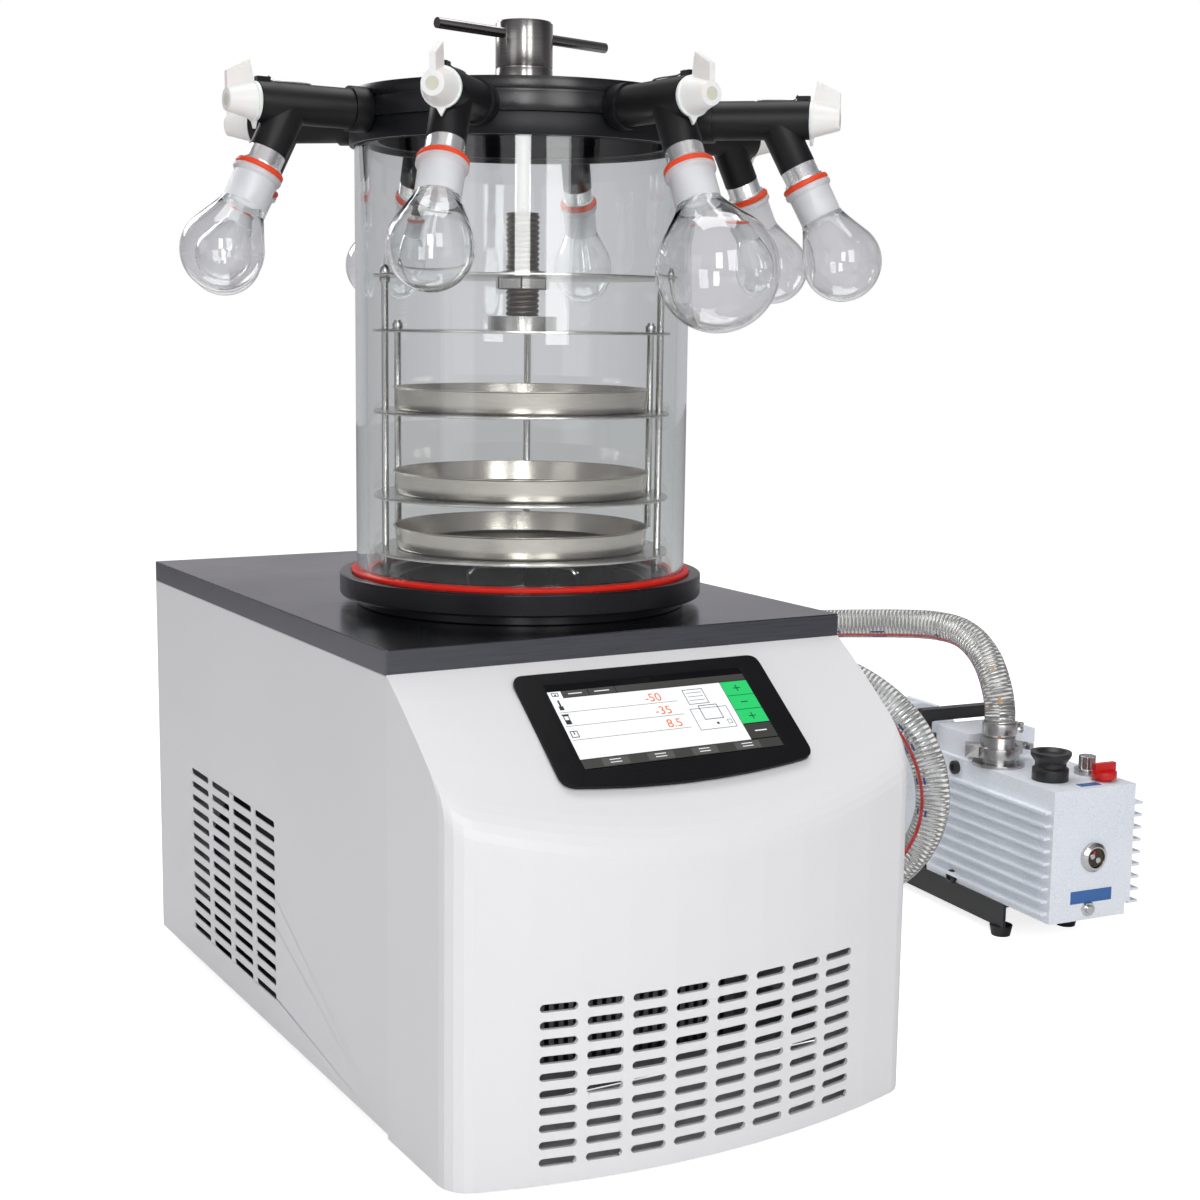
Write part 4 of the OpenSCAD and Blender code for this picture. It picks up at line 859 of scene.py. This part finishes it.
keep("oil_cap", cap_red, 0.0012)
keep("hose_clamp", port_steel, 0.0004)

pump = (Matrix.Translation((0.554, -0.089, 0)) @ Matrix.Rotation(math.radians(-5), 4, "Z"))


def on_pump(x, y, z, turned=Matrix.Identity(4)):
    """A place on the pump, whose Z points up or, turned, out of its front or left face."""
    return pump @ Matrix.Translation((x, y, z)) @ turned


to_front, to_left = Matrix.Rotation(math.pi / 2, 4, "X"), Matrix.Rotation(-math.pi / 2, 4, "Y")
mesh = bmesh.new()
turn(mesh, corners([(0.0095, 0), (0.014, 0), (0.014, 0.0034, 0.0008), (0.0108, 0.006, 0.0008),
                    (0.0095, 0.006, 0.0004)]), 64, on_pump(0, 0, 0.0935, to_front))
turn(mesh, corners([(0, 0), (0.007, 0), (0.007, 0.004, 0.0006), (0, 0.004)]), 6,
     on_pump(-0.004, 0, 0.0445, to_front))
turn(mesh, corners([(0, 0.0035), (0.004, 0.0035), (0.004, 0.007, 0.0006), (0, 0.007)]), 24,
     on_pump(-0.004, 0, 0.0445, to_front))
for z in (0.1925, 0.1985):
    turn(mesh, corners([(0.0008, -0.0001), (0.0026, -0.0001), (0.0026, 0.0022, 0.0004),
                        (0.0008, 0.0022, 0.0004)]), 6, on_pump(-0.0065, 0.106, z, to_front))
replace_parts(piece("pump_bright_fittings", mesh, polished, "cabinet"),
            "oil_fittings")

mesh = bmesh.new()
knurl = on_pump(0.029, 0.049, 0.159)
turn(mesh, corners([(0, 0.0), (0.012, 0.0), (0.012, 0.0058, 0.001), (0, 0.0058)]), 48, knurl)
ribs = turn(mesh, corners([(0, 0.005), (0.0080, 0.005), (0.0080, 0.0178, 0.001), (0, 0.0178)]), 72,
            knurl)
for v in {v for face in ribs for v in face.verts}:
    spot = knurl.inverted() @ v.co
    around = round(math.atan2(spot.y, spot.x) * 72 / math.tau)
    if around % 3 == 0 and math.hypot(spot.x, spot.y) > 0.006:
        v.co = knurl @ Vector((spot.x * 0.93, spot.y * 0.93, spot.z))
piece("ballast_knob", mesh, port_steel, "cabinet")

mesh = bmesh.new()
for y, z in ((0.152, 0.149), (0.150, 0.0385)):
    turn(mesh, corners([(0, -0.001), (0.0068, -0.001), (0.0068, 0.004, 0.0012), (0.0035, 0.0048),
                        (0.003, 0.003), (0, 0.003)]), 32, on_pump(-0.047, y, z, to_left))
piece("pump_case_screws", mesh, cap_black, "cabinet")

sight_glass, _ = fresh("sight glass", (0.015, 0.012, 0.008), 0.08)
worked(sight_glass, grain, {"Scale": 300.0, "Patches": 90.0}, tint=(0.09, 0.06, 0.02))
mesh = bmesh.new()
turn(mesh, corners([(0, 0.0008), (0.0094, 0.0008), (0.0094, 0.0040, 0.0004), (0, 0.0046)]), 48,
     on_pump(0, 0, 0.0935, to_front))
piece("sight_glass", mesh, sight_glass, "cabinet")
mesh = bmesh.new()
for x, z in ((-0.0036, 0.0015), (0.0030, -0.0026)):
    turn(mesh, corners([(0, 0.0030), (0.0027, 0.0030), (0.0027, 0.0047, 0.0003), (0, 0.0047)]), 24,
         on_pump(x, 0, 0.0935 + z, to_front))
piece("sight_glass_bolts", mesh, polished, "cabinet")
mesh = bmesh.new()
turn(mesh, corners([(0, 0.0030), (0.0016, 0.0030), (0.0016, 0.0048, 0.0003), (0, 0.0048)]), 20,
     on_pump(-0.0020, 0, 0.0985, to_front))
piece("level_mark", mesh, cap_red, "cabinet")
plate_blue, _ = fresh("blue anodised plate", (0.035, 0.13, 0.38), 0.35)
worked(plate_blue, grain, {"Scale": 900.0, "Patches": 60.0}, tint=(0.05, 0.17, 0.44), rough=0.45)
mesh = bmesh.new()
slab(mesh, (-0.0235, -0.0006, 0.050), (0.024, 0.0002, 0.062), pump)
slab(mesh, (-0.010, 0.008, 0.1588), (0.013, 0.017, 0.1595), pump)
bmesh.ops.bevel(mesh, geom=mesh.edges[:], offset=0.0002, segments=1, affect="EDGES")
piece("bare_blue_plates", mesh, plate_blue, "cabinet")

# ---------- Vacuum hose ----------
# Clear soft PVC with a steel wire wound in its wall and printed lines along it. It leaves the
# port at the back, lies round the side, goes up in a loop and arches over to the pump's inlet.

route = [
    (120, 385, 100), (120, 424, 100), (121, 470, 90), (134, 520, 60), (174, 563, 30),
    (234, 582, 17), (292, 568, 15.6), (334, 527, 15.6), (348, 467, 15.6), (340, 397, 15.6),
    (322, 318, 15.6), (310, 238, 15.8), (306, 160, 21), (307, 90, 38), (313, 25, 60),
    (320, -22, 77), (328, -60, 97), (334, -90, 122), (338, -108, 152), (338, -114, 184),
    (334, -106, 217), (325, -84, 247), (311, -49, 269), (292, -5, 282), (268, 47, 288),
    (242, 105, 289), (222, 170, 287), (213, 235, 284), (216, 297, 281), (230, 352, 278),
    (258, 396, 273), (300, 419, 269), (346, 415, 266), (386, 387, 264), (420, 346, 262),
    (450, 301, 264), (480, 253, 268), (506, 207, 273), (528, 168, 277), (543, 135, 279),
    (550, 106, 277), (550, 82, 270), (547.5, 61, 258), (543.5, 45, 244), (539.6, 33, 229),
    (537.3, 26.3, 214), (536.864, 24.927, 201), (536.864, 24.927, 194), (536.864, 24.927, 187)]
route = [Vector(p) / 1000 for p in route]
hose_line = along(route, 24)
hose_pvc, shader = fresh("clear PVC", (0.93, 0.935, 0.92), 0.10)
shader.inputs["Transmission Weight"].default_value = 0.90
shader.inputs["IOR"].default_value = 1.18
worked(hose_pvc, grain, {"Scale": 300.0, "Patches": 30.0}, tint=(0.84, 0.84, 0.82), rough=0.20)
frames = framed(along(route, 8))
mesh = bmesh.new()
hose_radius = 0.0146
tube(mesh, frames, hose_radius, 28)
hose = piece("vacuum_hose_wall", mesh, hose_pvc, "cabinet")
hose.visible_shadow = False
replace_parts(hose, "vacuum_hose")

wire_steel, _ = fresh("hose wire", (0.62, 0.62, 0.60), 0.25, 0.9)
worked(wire_steel, grain, {"Scale": 600.0}, tint=(0.36, 0.36, 0.34))
coil_pitch = 0.0042
turns = []
travelled = 0.0
for (p, _, u, v), (q, *_) in zip(frames, frames[1:]):
    step = (q - p).length
    parts = max(1, round(step / coil_pitch * 12))
    for s in range(parts):
        angle = math.tau * (travelled + step * s / parts) / coil_pitch
        turns.append(p.lerp(q, s / parts) + (u * math.cos(angle) + v * math.sin(angle)) * 0.0136)
    travelled += step
mesh = bmesh.new()
tube(mesh, framed(turns), 0.0009, 5)
wire = piece("hose_wire", mesh, wire_steel, "cabinet")


def printed(name, colour, beside, half, dashes=(9.0, 0.0)):
    """Ink lines along the hose: angles beside its turned side, half a line's width, and the
    lengths of a dash and a gap in metres. The hose is twisted between the loop and the arch."""
    ink, _ = fresh(name, colour, 0.35)
    worked(ink, grain, {"Scale": 900.0, "Patches": 200.0, "Amount": 0.8},
           tint=[min(1, c * 1.5 + 0.05) for c in colour])
    mesh = bmesh.new()
    line = framed(hose_line[::4])
    for offset in beside:
        far, run = 0.0, []
        for i, (p, _, u, v) in enumerate(line):
            twist = min(1, max(0, (i / len(line) * 48 - 22) / 11))
            side = math.radians(127 - 116 * twist * twist * (3 - 2 * twist)) + offset
            far += (p - line[max(0, i - 1)][0]).length
            on = far % sum(dashes) < dashes[0]
            if on:
                run.append([mesh.verts.new(p + (u * math.cos(a) + v * math.sin(a)) * r)
                            for a, r in ((side - half, 0.01450), (side - half, 0.0148),
                                         (side, 0.01485), (side + half, 0.0148),
                                         (side + half, 0.01450))])
            if run and (not on or i == len(line) - 1):
                for a, b in zip(run, run[1:]):
                    for k in range(5):
                        q = (k + 1) % 5
                        mesh.faces.new((a[k], a[q], b[q], b[k]))
                if len(run) > 1:
                    mesh.faces.new(run[0][::-1])
                    mesh.faces.new(run[-1])
                else:
                    bmesh.ops.delete(mesh, geom=run[0], context="VERTS")
                run = []
    return piece(name.replace(" ", "_"), mesh, ink, "cabinet")


inks = [printed("red ink line", (0.45, 0.03, 0.03), [0], 0.11),
        printed("blue ink dashes", (0.02, 0.05, 0.16), [-0.28, 0.28], 0.07, (0.005, 0.0045)),
        printed("orange ink marks", (0.42, 0.22, 0.05), [-1.75, 1.0], 0.10, (0.006, 0.024))]
